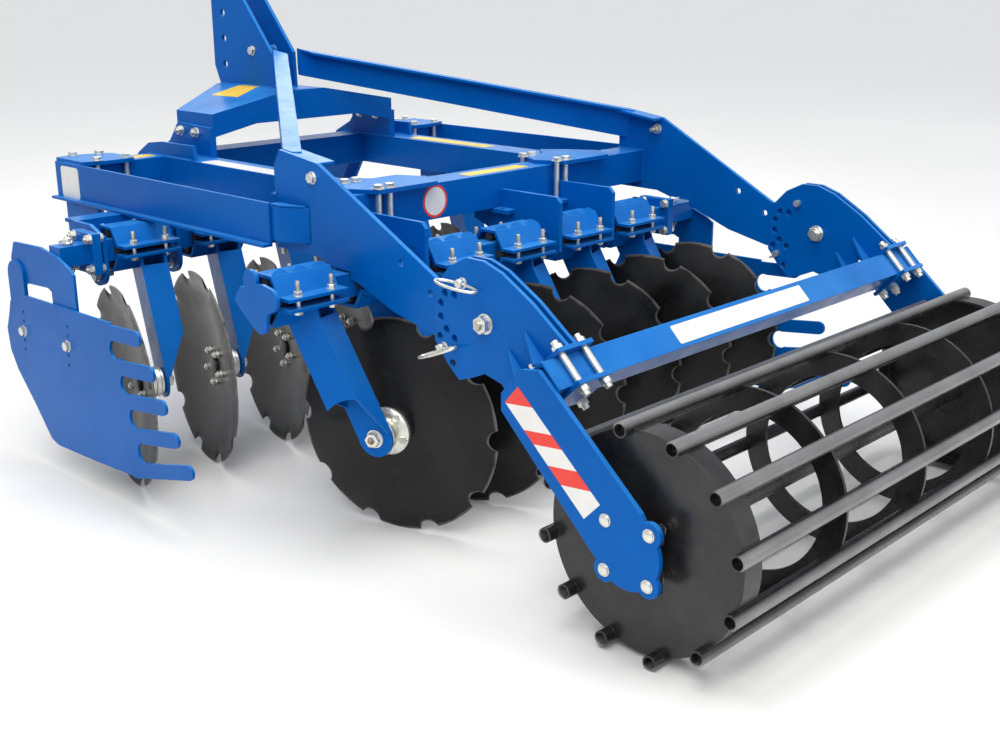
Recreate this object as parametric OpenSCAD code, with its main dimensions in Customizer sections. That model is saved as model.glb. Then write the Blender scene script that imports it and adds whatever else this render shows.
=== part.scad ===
// Compact mounted disc harrow: two rows of notched discs on rubber-sprung
// arms under a welded frame, with a cage roller that sets the depth.
// Millimetres. +X is the direction of travel, +Y the machine's left, +Z up.
// Positions are measured from the middle of the frame and then shifted, so
// that the origin is under the centre of the machine's box, on the floor.

/* [Discs] */
// Diameter of a disc
disc_d = 560; // [540:1:580]
// Thickness of a disc
disc_t = 5; // [4:0.5:7]
// Depth of a disc's dish
disc_dish = 46; // [36:1:54]
// Number of notches round a disc
disc_notches = 10; // [8:1:12]
// Radius of a notch
notch_r = 27; // [18:1:32]
// Discs in each row
disc_count = 6; // [5:1:6]
// Spacing of the discs along a row
disc_pitch = 250; // [240:1:260]
// Angle of the front discs to the line of travel
front_angle = 14; // [10:1:16]
// Angle of the rear discs to the line of travel
rear_angle = 18; // [14:1:19]

/* [Disc arms] */
// Distance of the hub behind its beam
arm_back = 186; // [176:1:196]
// Outer width of an arm
arm_w = 76; // [66:1:80]
// Thickness of the arm's sheet
arm_t = 8; // [6:1:10]
// Radius of the arm's foot
foot_r = 48; // [44:1:52]
// Radius of the stub axle
axle_r = 16; // [14:1:20]
// Length of the hub from the foot to the disc
hub_len = 60; // [50:1:60]
// Radius of the hub's body
hub_r = 42; // [38:1:46]
// Radius of the hub's bolt flange
hub_flange_r = 61; // [58:1:66]
// Gap between a hub and what carries it
hub_gap = 0.5; // [0.4:0.1:0.8]

/* [Beams and clamps] */
// Width of a beam's square tube
beam_w = 60; // [56:1:62]
// Wall of the beams' tube
beam_wall = 8; // [6:1:10]
// Height of the beams' axes
beam_z = 634; // [630:1:637]
// Thickness of a clamp's sheet
clamp_t = 8; // [6:1:9]
// Length of a clamp along its beam
clamp_len = 176; // [170:1:182]
// Reach of a clamp's flange from the beam's axis
flange_reach = 98; // [94:1:102]
// Radius of a rubber damper
rubber_r = 12; // [10:0.5:12]

/* [Frame] */
// Width of the frame's square tubes
tube_w = 100; // [96:1:104]
// Wall of the frame's tubes
tube_wall = 6; // [5:1:8]
// Height of the frame's upper faces
frame_top = 812; // [805:1:820]
// Distance from the machine's middle to a side plate
side_y = 701; // [696:1:704]
// Thickness of a side plate
side_t = 12; // [10:1:12]
// Distance from the machine's middle to a long tube
long_y = 412; // [400:1:424]
// Distance from the machine's middle to a side rail's web
rail_y = 752; // [748:1:760]
// Thickness of the side rails
rail_t = 8; // [6:1:10]
// Height of a side rail at its front
rail_h = 112; // [104:1:116]

/* [Headstock] */
// Height of the upper hitch pin
hitch_top_z = 1150; // [1140:1:1160]
// Height between the lower hitch pins and the upper one
mast_height = 610; // [600:1:620]
// Distance between the middles of the lower hitch pins
hitch_spread = 825; // [815:1:830]
// Radius of a lower hitch pin's hole
lower_hole_r = 14.4; // [14.2:0.1:14.6]
// Radius of the upper hitch pin's hole
upper_hole_r = 12.9; // [12.8:0.1:13.1]
// Gap between the mast's plates
mast_gap = 76; // [70:1:82]
// Thickness of the mast's plates
mast_t = 12; // [10:1:15]

/* [Roller] */
// Radius of the circle on which the roller's bars lie
bar_circle = 247; // [240:1:250]
// Radius of a roller bar
bar_r = 17; // [15:1:18]
// Wall of a roller bar
bar_wall = 4; // [3:0.5:5]
// Number of roller bars
bar_count = 12; // [10:1:12]
// Half the length of a roller bar
bar_half = 777; // [772:1:779]
// Radius of the roller's shaft
shaft_r = 30; // [25:1:32]
// Radius of the roller's end journals
journal_r = 20; // [18:1:22]

/* [Roller frame] */
// Thickness of a sector plate
sector_t = 10; // [8:1:11]
// Gap between a sector plate and the side plate
sector_gap = 1; // [0.6:0.1:1.5]
// Width of the roller frame's cross tube
cross_w = 70; // [66:1:74]
// Distance from the machine's middle to an end arm's inner face
arm_plate_y = 792; // [790:1:800]
// Thickness of an end arm
arm_plate_t = 12; // [10:1:14]
// Radius of a pivot bolt
pivot_r = 12; // [10:1:14]
// Radius of a depth pin
pin_r = 9.5; // [8:0.5:10]

/* [Shields] */
// Thickness of the comb shields
shield_t = 8; // [6:1:9]
// Distance from the machine's middle to the left shield
shield_left_y = 1052; // [1050:1:1060]
// Distance from the machine's middle to the right shield
shield_right_y = 742; // [738:1:760]

/* [Hidden] */
$fn = 48;
eps = 0.01;

// Places of the rows, from the frame's middle
front_beam_x = 376;
rear_beam_x = -425;
front_clamp_y = 800;
rear_clamp_y = 853;
rear_arm_shift = 40;
hub_z = disc_d / 2;
arm_drop = beam_z - hub_z;
shield_right_shift = rear_beam_x - front_beam_x;
front_clamps_y = [for (i = [0:disc_count - 1]) front_clamp_y - i * disc_pitch];
rear_clamps_y = [for (i = [0:disc_count - 1]) rear_clamp_y - i * disc_pitch];
front_beam_ends = [front_clamp_y + 135, -780];
rear_beam_ends = [rear_clamp_y + 110, -560];
front_hangers_y = [front_clamp_y, -690];
rear_hangers_y = [for (i = [1, 4]) rear_clamp_y - i * disc_pitch];

// Places of the frame's members
front_tube_x = 790;
rear_tube_x = -222;
tube_z = frame_top - tube_w / 2;
side_inner = side_y - side_t / 2;
rail_front_x = 880;
rail_rear_x = -205;

// Places of the headstock
mast_pin_x = 968;
lower_pin_x = 1010;
lower_pin_z = hitch_top_z - mast_height;
hitch_front_x = lower_pin_x + 45;
brace_top = [700, 46, 1125];

// Places of the roller and its frame
pivot_x = -932;
pivot_z = 628;
roller_x = -1408;
clamp_bolt_a = cross_w / 2 + 9;
clamp_bolt_b = 36;
bar_phase = 19;
bar_angles = [for (i = [0:bar_count - 1]) bar_phase + i * 360 / bar_count];
roller_z = bar_circle * max([for (a = bar_angles) -sin(a)]) + bar_r;
roller_back = bar_circle * max([for (a = bar_angles) -cos(a)]) + bar_r;
cross_x = -1166;
cross_z = 556;
sector_inner_y = side_y - side_t / 2 - sector_gap - sector_t;
sector_outer_y = side_y + side_t / 2 + sector_gap;

// The machine's box, and the shift that puts the origin under its centre
x_max = hitch_front_x;
x_min = roller_x - roller_back;
y_max = shield_left_y + shield_t;
bearing_t = 34;
bearing_bolt = 55;
y_min = -arm_plate_y - arm_plate_t;
x_mid = (x_max + x_min) / 2;
y_mid = (y_max + y_min) / 2;

blue = [0.02, 0.22, 0.62];
black = [0.07, 0.07, 0.08];
zinc = [0.78, 0.78, 0.74];
rubber = [0.05, 0.05, 0.05];

module placed() {
    translate([-x_mid, -y_mid, 0]) children();
}

// A plate standing in the XZ plane: outline points are [x, z], y runs from y0
module upright(y0, thick) {
    translate([0, y0 + thick, 0]) rotate([90, 0, 0]) linear_extrude(thick) children();
}

// A pin or bore along Y, centred on y
module along_y(x, y, z, r, len) {
    translate([x, y + len / 2, z]) rotate([90, 0, 0]) cylinder(r = r, h = len);
}

module on_side(side) {
    if (side > 0) children();
    else mirror([0, 1, 0]) children();
}

// A square tube along Y
module tube_y(x, y_low, y_high, z, w, wall) {
    translate([x - w / 2, y_low, z - w / 2]) difference() {
        cube([w, y_high - y_low, w]);
        translate([wall, -1, wall]) cube([w - 2 * wall, y_high - y_low + 2, w - 2 * wall]);
    }
}

module front_cross_tube() {
    half = rail_y - rail_t / 2;
    color(blue) tube_y(front_tube_x, -half, half, tube_z, tube_w, tube_wall);
}

module rear_cross_tube() {
    color(blue) tube_y(rear_tube_x, -side_inner, side_inner, tube_z, tube_w, tube_wall);
}

module long_tube(side) {
    x0 = rear_tube_x + tube_w / 2;
    len = front_tube_x - tube_w / 2 - x0;
    color(blue) translate([x0, side * long_y - tube_w / 2, frame_top - tube_w]) difference() {
        cube([len, tube_w, tube_w]);
        translate([-1, tube_wall, tube_wall])
            cube([len + 2, tube_w - 2 * tube_wall, tube_w - 2 * tube_wall]);
    }
}

// Mast: two plates with the upper hitch holes, standing on the bridge
mast_foot_z = 1000;
module mast_outline() {
    polygon([[700, mast_foot_z], [1003, mast_foot_z], [1030, 1060], [1030, 1290], [985, 1350],
        [908, 1350], [704, 1112]]);
}

module mast() {
    color(blue) difference() {
        union() {
            for (y = [-mast_gap / 2 - mast_t, mast_gap / 2]) upright(y, mast_t) mast_outline();
            along_y(807, 0, 1116, 14, mast_gap + 2);
        }
        for (z = [-85, 0, 85]) along_y(mast_pin_x, 0, hitch_top_z + z, upper_hole_r, 200);
    }
}

// Bridge: a channel swept back from the mast, folded down at its ends onto the brackets
bridge_half = 370;
bridge_end_z = 946;
bridge_front = [1003, 790];
bridge_rear_x = 590;
module bridge_section(top, low_end, low_mid) {
    polygon([[-bridge_half, bridge_end_z], [-mast_gap, top], [mast_gap, top],
        [bridge_half, bridge_end_z], [bridge_half, low_end], [mast_gap + 130, low_mid],
        [-mast_gap - 130, low_mid], [-bridge_half, low_end]]);
}

module headstock_bridge() {
    foot_half = mast_gap / 2 + mast_t + 4;
    fold_t = 8;
    color(blue) intersection() {
        union() {
            translate([bridge_rear_x, 0, 0]) rotate([90, 0, 90]) linear_extrude(420) polygon([
                [-bridge_half, bridge_end_z], [-mast_gap, mast_foot_z], [mast_gap, mast_foot_z],
                [bridge_half, bridge_end_z], [bridge_half, bridge_end_z - fold_t],
                [mast_gap, mast_foot_z - fold_t], [-mast_gap, mast_foot_z - fold_t],
                [-bridge_half, bridge_end_z - fold_t]]);
            translate([bridge_rear_x, 0, 0]) rotate([90, 0, 90]) linear_extrude(fold_t)
                bridge_section(mast_foot_z, 874, 905);
            for (side = [-1, 1])
                translate([bridge_rear_x, side > 0 ? bridge_half - fold_t : -bridge_half, frame_top])
                    cube([220, fold_t, bridge_end_z - frame_top - 2]);
        }
        linear_extrude(1200) polygon([[bridge_rear_x, -bridge_half], [bridge_front[1], -bridge_half],
            [bridge_front[0], -foot_half], [bridge_front[0], foot_half],
            [bridge_front[1], bridge_half], [bridge_rear_x, bridge_half]]);
    }
}

// Lower hitch brackets: two plates each, standing on the frame's tubes
bracket_bolts = [[750, 886], [665, 886]];
module hitch_bracket(side) {
    plate_t = 12;
    gap = 60;
    mid = hitch_spread / 2;
    nose = [[899, frame_top - 2], [1000, 690], [hitch_front_x, lower_pin_z + 40],
        [hitch_front_x, lower_pin_z - 40], [lower_pin_x - 40, lower_pin_z - 40],
        [front_tube_x + tube_w / 2, frame_top - tube_w], [front_tube_x + tube_w / 2, frame_top]];
    color(blue) on_side(side) difference() {
        union() {
            upright(mid - gap / 2 - plate_t, plate_t) polygon(concat([[590, frame_top],
                [590, 905], [769, 911], [821, 849]], nose));
            upright(mid + gap / 2, plate_t) polygon(concat([[575, frame_top], [585, 857],
                [764, 855], [835, 846]], nose));
        }
        along_y(lower_pin_x, mid, lower_pin_z, lower_hole_r, 200);
        for (b = bracket_bolts) along_y(b[0], mid - gap / 2, b[1], 9, 60);
    }
}

// Braces: bent plates with an inward flange, from the mast back to the side plates
brace_low = [-205, side_y, 942];
module brace(side) {
    run = [brace_low[0] - brace_top[0], side_y - brace_top[1]];
    len = norm(run);
    fall = brace_low[2] - brace_top[2];
    inside = mast_gap / 2 + mast_t;
    color(blue) on_side(side) {
        difference() {
            translate([brace_top[0], brace_top[1], brace_top[2]]) rotate([0, 0, atan2(run[1], run[0])]) {
                upright(0, 8) polygon([[-80, 0], [0, 0], [len + 20, fall * (len + 20) / len],
                    [len + 20, fall - 98], [-80, -72]]);
                upright(0, 46) polygon([[-80, 0], [0, 0], [len + 20, fall * (len + 20) / len],
                    [len + 20, fall * (len + 20) / len - 8], [0, -8], [-80, -8]]);
            }
            translate([-500, inside - 200, 600]) cube([1500, 200, 800]);
            translate([-500, side_inner, 600]) cube([1000, 200, 800]);
        }
        upright(side_inner - 46, 46) polygon([[-196, 942], [-345, 922], [-345, 914], [-196, 934]]);
    }
}

// Side plates: from the rear cross tube down and back to a tongue at the pivot
module side_plate(side) {
    color(blue) on_side(side) difference() {
        upright(side_y - side_t / 2, side_t) union() {
            polygon([[-172, 690], [-172, 900], [-196, 942], [-345, 922], [-767, 700],
                [-932, 700], [-932, 564], [-756, 566], [-614, 597], [-490, 644], [-333, 688]]);
            translate([pivot_x, pivot_z]) circle(r = 72);
        }
        along_y(pivot_x, side_y, pivot_z, pivot_r + 0.3, 60);
        for (p = [[-328, 885], [-645, 720], [-744, 664]]) along_y(p[0], side_y, p[1], 9, 60);
        translate([rear_beam_x - beam_w / 2 - 6, side_y - 50, beam_z - 100])
            cube([beam_w + 12, 100, 100 + beam_w / 2 + 6]);
    }
}

module side_rail(side) {
    color(blue) on_side(side) {
        upright(rail_y - rail_t / 2, rail_t) polygon([
            [rail_front_x, frame_top + 2], [rail_front_x, frame_top + 2 - rail_h],
            [rail_rear_x, frame_top + 2 - rail_h], [rail_rear_x, frame_top + 2]]);
        translate([rail_rear_x, rail_y, frame_top + 2 - rail_h])
            cube([rail_front_x - rail_rear_x, 26, rail_t]);
    }
}

// The lobed plate that closes a beam's free end, round the beam's axis
end_plate_t = 10;
module beam_end_outline() {
    polygon([[72, -6], [61, 18], [34, 33], [34, 55], [-16, 55], [-15, 46], [-37, 49],
        [-65, 44], [-91, 22], [-76, -6], [-52, -20], [-48, -38], [-24, -72], [-6, -67], [54, -23]]);
    for (lobe = [[8, 54, 24], [-65, 16, 28], [-23, -47, 25]]) translate([lobe[0], lobe[1]])
        circle(r = lobe[2]);
}

module beam(x, ends, plate_y) {
    color(blue) {
        tube_y(x, ends[1], ends[0], beam_z, beam_w, beam_wall);
        upright(plate_y, end_plate_t) translate([x, beam_z]) beam_end_outline();
    }
}

// Rear hangers: boxes that carry the beam behind the rear cross tube, one clamp inside
hanger_t = 12;
hanger_half = 117;
tube_under = frame_top - tube_w;
module beam_hole(x) {
    translate([x - beam_w / 2 - 0.2, -1500, beam_z - beam_w / 2 - 0.2])
        cube([beam_w + 0.4, 3000, beam_w + 0.4]);
}

module rear_hanger(plates, y_low, y_high) {
    back = rear_tube_x - tube_w / 2;
    difference() {
        union() {
            for (y = plates) upright(y - hanger_t / 2, hanger_t)
                polygon([[back - 0.2, tube_under - 12], [back - 0.2, 765], [-485, 765], [-500, 750],
                    [-500, 610], [-475, 585], [-385, 585], [-350, 600], [back + 110, tube_under - 45],
                    [back + 110, tube_under - 12]]);
            translate([-322, y_low + 30, 620]) cube([10, y_high - y_low - 60, tube_under - 632]);
            translate([back - 58, y_low, tube_under - 12]) cube([192, y_high - y_low, 12]);
        }
        beam_hole(rear_beam_x);
        for (x = [back - 20, back + tube_w + 18], y = [y_low + 16, y_high - 16])
            translate([x, y, 600]) cylinder(r = 8, h = 150);
    }
}

module rear_hangers() {
    left = rear_hangers_y[0];
    right = rear_hangers_y[1];
    color(blue) {
        rear_hanger([left - hanger_half], left - hanger_half - 38, side_inner - 2);
        rear_hanger([right - hanger_half, right + hanger_half],
            right - hanger_half - 38, right + hanger_half + 38);
        for (side = [-1, 1]) translate([rear_tube_x, side * long_y, frame_top]) scale([1, side, 1])
            linear_extrude(12) polygon([[-84, -150], [-84, 60], [0, 110], [84, 60], [150, 0],
                [84, -60], [84, -150], [0, -190]]);
    }
}

// Front hangers: boxes under the side rails, with legs past the beam, and the plates
// above and below the front tube's ends
module front_hanger(y, half) {
    under = frame_top + 2 - rail_h;
    difference() {
        union() {
            for (s = [-1, 1]) upright(y + s * half - hanger_t / 2, hanger_t) union() {
                polygon([[490, under], [400, under], [336, 676], [330, 580], [422, 580],
                    [490, 620]]);
                translate([376, 580]) circle(r = 46);
            }
            translate([480, y - half, 610]) cube([10, 2 * half, under - 610]);
            translate([480, y - half, under - 10]) cube([64, 2 * half, 10]);
        }
        beam_hole(front_beam_x);
        along_y(376, y, 562, 9, 400);
    }
}

module front_hangers() {
    strap_end = rail_y - rail_t / 2 - 0.5;
    color(blue) {
        front_hanger(front_hangers_y[0], hanger_half);
        front_hanger(front_hangers_y[1], 80);
        for (side = [-1, 1], z = [tube_under - 12, frame_top])
            translate([front_tube_x, 0, z]) scale([1, side, 1]) linear_extrude(12)
                polygon([[-84, 590], [-84, 680], [-60, strap_end], [96, strap_end], [110, 700],
                    [84, 600], [60, 575], [-66, 575]]);
    }
}

// One half of a clamp, in the beam's XZ plane: a bent sheet with two flanges
clamp_gap = 9;
clamp_bolt_x = flange_reach - 18;
clamp_top = beam_w / 2 + 2 * rubber_r + clamp_t;
clamp_base = 58;
front_lobe_top = 66;
rear_lobe_top = 74;
clamp_crease = [45, 38];
clamp_crest = [30, clamp_top];
module clamp_half_outline() {
    low = clamp_gap;
    high = clamp_gap + clamp_t;
    outer = [[flange_reach, high], [clamp_base, high], clamp_crease, clamp_crest];
    inner = [[clamp_crest[0] - 5, clamp_top - clamp_t],
        [clamp_crease[0] - clamp_t, clamp_crease[1] - 3], [clamp_base - clamp_t, low],
        [flange_reach, low]];
    polygon(concat(outer, [for (p = [3:-1:0]) [-outer[p][0], outer[p][1]]],
        [for (p = [3:-1:0]) [-inner[p][0], inner[p][1]]], inner));
}

module clamp_row(x, ys, lobe_top) {
    lobe_r = clamp_len / 6;
    slope = atan2(clamp_crest[1] - clamp_crease[1], clamp_crease[0] - clamp_crest[0]);
    rise = (lobe_top - clamp_top) / sin(slope);
    for (y = ys) difference() {
        translate([x, 0, 0]) union() {
            upright(y - clamp_len / 2, clamp_len) clamp_half_outline();
            intersection() {
                for (k = [-1:1]) translate([-clamp_crest[0], y + 2 * k * lobe_r, clamp_top])
                    rotate([0, -slope, 0]) translate([rise - lobe_r, 0, -7.4])
                        cylinder(r = lobe_r, h = 6.8);
                translate([-50, y - clamp_len, 48]) cube([50, 2 * clamp_len, 100]);
            }
        }
        for (sx = [-1, 1], sy = [-1, 1])
            translate([x + sx * clamp_bolt_x, y + sy * 50, 0]) cylinder(r = 7, h = 40);
    }
}

module clamps(x, ys, lobe_top) {
    color(blue) translate([0, 0, beam_z]) clamp_row(x, ys, lobe_top);
}

module rubbers(x, ys) {
    reach = beam_w / 2 + rubber_r;
    color(rubber) for (y = ys, p = [[0, 1], [0, -1], [1, 0], [-1, 0]])
        along_y(x + p[0] * reach, y, beam_z + p[1] * reach, rubber_r - 0.3, clamp_len - 8);
}

// A disc arm, in a frame whose origin is on the beam, with the hub on its left
function around(centre, r, a) = centre + r * [cos(a), sin(a)];
foot_centre = [-arm_back, -arm_drop];
foot_arc = [for (k = [0:10]) around(foot_centre, foot_r, 154 + k * 19.4)];
arm_head = [[10, -clamp_top + 2], [-52, -20], [-78, -20], [-84, -46]];
arm_points = concat(arm_head, foot_arc);
foot_y = 4;
arm_side_y = foot_y + arm_t - arm_w;

// A flat strip of the arm along one edge of its outline, cut off at a slant towards the foot
module arm_strip(foot, top, side, width, slant) {
    across = (top - foot) / norm(top - foot);
    inward = side * arm_t * [-across[1], across[0]];
    difference() {
        upright(arm_side_y, width) polygon([foot, top, top + inward, foot + inward]);
        translate([-500, 0, 0]) rotate([90, 0, 90]) linear_extrude(600) polygon([
            [arm_side_y - 1, foot[1] - 20], [slant[0], foot[1] - 20],
            [slant[0], foot[1] + slant[1]], [arm_side_y - 1, foot[1] + slant[2]]]);
    }
}

module arm_with_axle() {
    upright(foot_y, arm_t) polygon(arm_points);
    upright(arm_side_y, arm_t) difference() {
        polygon(arm_points);
        translate(foot_centre) circle(r = 120);
    }
    arm_strip(foot_arc[0], arm_head[3], -1, arm_w, [foot_y - 6, 0, 110]);
    arm_strip(foot_arc[10], arm_head[0], 1, arm_w, [foot_y + arm_t + 1, 72, 119]);
    translate([-arm_back, foot_y + 1, -arm_drop]) rotate([-90, 0, 0])
        cylinder(r = axle_r, h = arm_t + hub_len - 8);
    translate([-arm_back, foot_y - 18, -arm_drop]) rotate([-90, 0, 0])
        cylinder(r = 17, h = 18.5, $fn = 6);
}

module arms(x, ys, angle, side, shift) {
    color(blue) translate([0, 0, beam_z]) {
        for (y = ys) translate([x, y, 0]) difference() {
            on_side(side) rotate([0, 0, -angle]) translate([0, shift, 0]) arm_with_axle();
            translate([0, clamp_len / 2 + 30, 0]) rotate([90, 0, 0])
                linear_extrude(clamp_len + 60) polygon([[-flange_reach - 9, -clamp_gap - clamp_t],
                    [-flange_reach - 9, 60], [60, 60], [60, -clamp_gap], [clamp_top, -clamp_gap],
                    [10, -clamp_top + clamp_t], [-10, -clamp_top + clamp_t],
                    [-clamp_top + 2, -clamp_gap - clamp_t]]);
        }
        mirror([0, 0, 1]) clamp_row(x, ys, 50);
    }
}

// A disc with its hub, in the arm's frame: y runs out from the foot
dish_r = (pow(disc_d / 2, 2) + pow(disc_dish, 2)) / (2 * disc_dish);
module disc_shell() {
    rim = asin(disc_d / 2 / dish_r);
    flat = asin(hub_flange_r / dish_r);
    steps = 7;
    rotate([-90, 0, 0]) rotate_extrude($fn = 96) polygon(concat(
        [[0, 0], [hub_flange_r, 0]],
        [for (i = [1:steps]) let (a = flat + (rim - flat) * i / steps)
            [dish_r * sin(a), dish_r * (cos(flat) - cos(a))]],
        [for (i = [steps:-1:1]) let (a = flat + (rim - flat) * i / steps)
            [(dish_r - disc_t) * sin(a), dish_r * cos(flat) - (dish_r - disc_t) * cos(a)]],
        [[hub_flange_r - 2, disc_t], [0, disc_t]]));
}

module disc_and_hub() {
    foot_face = foot_y + arm_t;
    hub_face = foot_face + hub_len;
    color(black) difference() {
        translate([0, hub_face, 0]) disc_shell();
        for (i = [0:disc_notches - 1]) rotate([0, i * 360 / disc_notches, 0])
            translate([disc_d / 2 + 4, 200, 0]) rotate([90, 0, 0]) cylinder(r = notch_r, h = 200);
    }
    color(zinc) translate([0, foot_face + 1, 0]) rotate([-90, 0, 0]) rotate_extrude() polygon([
        [axle_r + hub_gap, 0], [hub_r - 6, 0], [hub_r, 5], [hub_r, hub_len - 14],
        [hub_flange_r, hub_len - 12], [hub_flange_r, hub_len - 1], [0, hub_len - 1],
        [0, hub_len - 7], [axle_r + hub_gap, hub_len - 7]]);
}

module disc_at(x, y, angle, side, shift) {
    translate([x, y, beam_z]) on_side(side) rotate([0, 0, -angle])
        translate([-arm_back, shift, -arm_drop]) disc_and_hub();
}

// Comb shields: an upright plate with rounded fingers pointing back
finger_r = 20;
shield_bolts = [[572, 393], [322, 398]];
finger_tips = [[-30, 486], [-84, 404], [-128, 325], [-174, 249], [-228, 178]];
finger_slopes = [-3, -5, -7, -10, -14];
slot_ends = [[74, 435], [36, 349], [4, 263], [-24, 175]];
slot_radii = [27, 26, 27, 29];
module finger(tip, slope) {
    root = around(tip, 275, slope);
    polygon(concat([around(root, finger_r, slope - 90), around(root, finger_r, slope + 90)],
        [for (k = [0:10]) around(tip, finger_r, slope + 90 + k * 18)]));
}

module comb_outline() {
    difference() {
        union() {
            polygon([[560, 500], [92, 506], [60, 435], [-40, 176], [-60, 122], [8, 98], [220, 87],
                [440, 79], [478, 90], [554, 176], [641, 265], [672, 319], [679, 382], [656, 429],
                [640, 470]]);
            for (i = [0:len(finger_tips) - 1]) finger(finger_tips[i], finger_slopes[i]);
            translate([590, 550]) circle(r = 45);
            translate([545, 420]) square([90, 130]);
        }
        for (i = [0:len(slot_ends) - 1]) translate(slot_ends[i]) circle(r = slot_radii[i]);
        for (b = shield_bolts, k = [-2, -1, 1, 2]) translate([b[0] + k * 3, b[1] - k * 28])
            circle(r = 5);
    }
}

module comb_plate(y) {
    color(blue) upright(y, shield_t) comb_outline();
}

// Brackets: an arched plate behind each shield on an arm bolted to the beam's end
module comb_arch() {
    difference() {
        polygon([[620, 380], [620, 600], [596, 646], [445, 652], [350, 637], [297, 616], [272, 600],
            [272, 380], [372, 380], [400, 430], [401, 534], [420, 542], [540, 536], [556, 526],
            [556, 440], [545, 380]]);
        for (b = shield_bolts) translate(b) circle(r = 8.3);
    }
}

module comb_bracket(beam_x, end_y, inner_y, side, shift) {
    arm_end = abs(inner_y - end_y);
    color(blue) translate([0, end_y, 0]) on_side(side) {
        for (k = [0, 12.5]) translate([beam_x - 56, k, beam_z - 56]) cube([112, 12, 112]);
        translate([beam_x - 28, 24.5, beam_z - 28]) cube([56, arm_end - 24.5, 56]);
        translate([shift, 0, 0]) upright(arm_end, 8) comb_arch();
    }
}

module comb_shield_left() {
    comb_plate(shield_left_y);
}

module comb_bracket_left() {
    comb_bracket(front_beam_x, front_beam_ends[0], shield_left_y - 8.3, 1, 0);
}

module comb_shield_right() {
    translate([shield_right_shift, -2 * shield_right_y - shield_t, 0]) comb_plate(shield_right_y);
}

module comb_bracket_right() {
    comb_bracket(rear_beam_x, rear_beam_ends[1], -shield_right_y + 8.3, -1, shield_right_shift);
}

// Roller frame
module sector_outline() {
    polygon([[pivot_x + 150, 700], [pivot_x + 162, 640], [pivot_x + 162, 560], [-811, 511],
        [-848, 480], [-885, 492], [-930, 512], [-980, 500], [-1010, 474], [-1050, 497],
        flange_low, flange_high, [-1146, 642], [-1070, 698], [-980, 750], [-925, 768],
        [-874, 768], [-822, 742]]);
}

flange_low = [cross_x + (cross_w / 2 + 10) * cos(45) + 52 * cos(45),
    cross_z + (cross_w / 2 + 10) * cos(45) - 52 * cos(45)];
flange_high = [cross_x + (cross_w / 2 + 10) * cos(45) - 52 * cos(45),
    cross_z + (cross_w / 2 + 10) * cos(45) + 52 * cos(45)];
// The pins' own holes come first, then the free ones
pin_places = [[-864, 700 + pin_r + 0.3], [-802, 549]];
sector_holes = concat(pin_places, [[-804, 677], [-834, 677], [-790, 651], [-790, 619],
    [-808, 592], [-786, 572], [-834, 575], [-827, 516]]);

module sector(side) {
    color(blue) on_side(side) difference() {
        union() {
            upright(sector_inner_y, sector_t) sector_outline();
            upright(sector_outer_y, sector_t) sector_outline();
        }
        along_y(pivot_x, side_y, pivot_z, pivot_r + 0.3, 100);
        for (p = sector_holes) along_y(p[0], side_y, p[1], pin_r + 0.3, 100);
    }
    color(blue) for (e = [cross_w / 2 + 0.2, -cross_w / 2 - 10.2])
        translate([cross_x, side * side_y, cross_z]) rotate([0, 45, 0]) difference() {
            translate([-60, -55, e]) cube([120, 110, 10]);
            for (a = [-1, 1], b = [-1, 1]) translate([a * clamp_bolt_a, b * clamp_bolt_b, e - 1])
                cylinder(r = 8.3, h = 12);
        }
}

module roller_cross_tube() {
    half = arm_plate_y - 0.3;
    color(blue) translate([cross_x, 0, cross_z]) rotate([0, 45, 0]) difference() {
        cube([cross_w, 2 * half, cross_w], center = true);
        cube([cross_w - 12, 2 * half + 2, cross_w - 12], center = true);
    }
}

module tube_clamps() {
    reach = cross_w / 2 + 32;
    color(zinc) for (side = [-1, 1], a = [-1, 1], b = [-1, 1])
        translate([cross_x, side * side_y, cross_z]) rotate([0, 45, 0])
            translate([a * clamp_bolt_a, b * clamp_bolt_b, -reach]) {
                cylinder(r = 8, h = 2 * reach);
                translate([0, 0, 2 * reach - 22 + 0.2]) cylinder(r = 13, h = 11, $fn = 6);
                translate([0, 0, 9]) cylinder(r = 13, h = 12.6, $fn = 6);
            }
}

module end_arm(side) {
    lobes = [for (a = [-1, 1], b = [-1, 1]) [roller_x + a * bearing_bolt, roller_z + b * bearing_bolt]];
    color(blue) on_side(side) upright(arm_plate_y, arm_plate_t) union() {
        polygon([[-1062, 479], [-1062, 518], [-1119, 582], [-1168, 590], [-1440, 353],
            lobes[1], [roller_x, roller_z], lobes[2], [-1329, 222]]);
        translate([roller_x, roller_z]) circle(r = 82);
        for (p = lobes) translate(p) circle(r = 27);
    }
}

module bearings() {
    color(black) for (side = [-1, 1]) on_side(side)
        translate([roller_x, arm_plate_y, roller_z]) rotate([90, 0, 0]) difference() {
            union() {
                linear_extrude(14) difference() {
                    square(2 * bearing_bolt + 38, center = true);
                    for (a = [0:90:270]) rotate(a) translate([bearing_bolt + 20, 0]) circle(r = 34);
                }
                cylinder(r = 48, h = bearing_t);
            }
            translate([0, 0, -1]) cylinder(r = journal_r + 0.3, h = bearing_t + 2);
        }
}

module depth_pins() {
    color(zinc) for (side = [-1, 1]) on_side(side) {
        for (p = pin_places) along_y(p[0], side_y, p[1], pin_r, 60);
        along_y(pivot_x, side_y, pivot_z, pivot_r, 80);
    }
}

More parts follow.
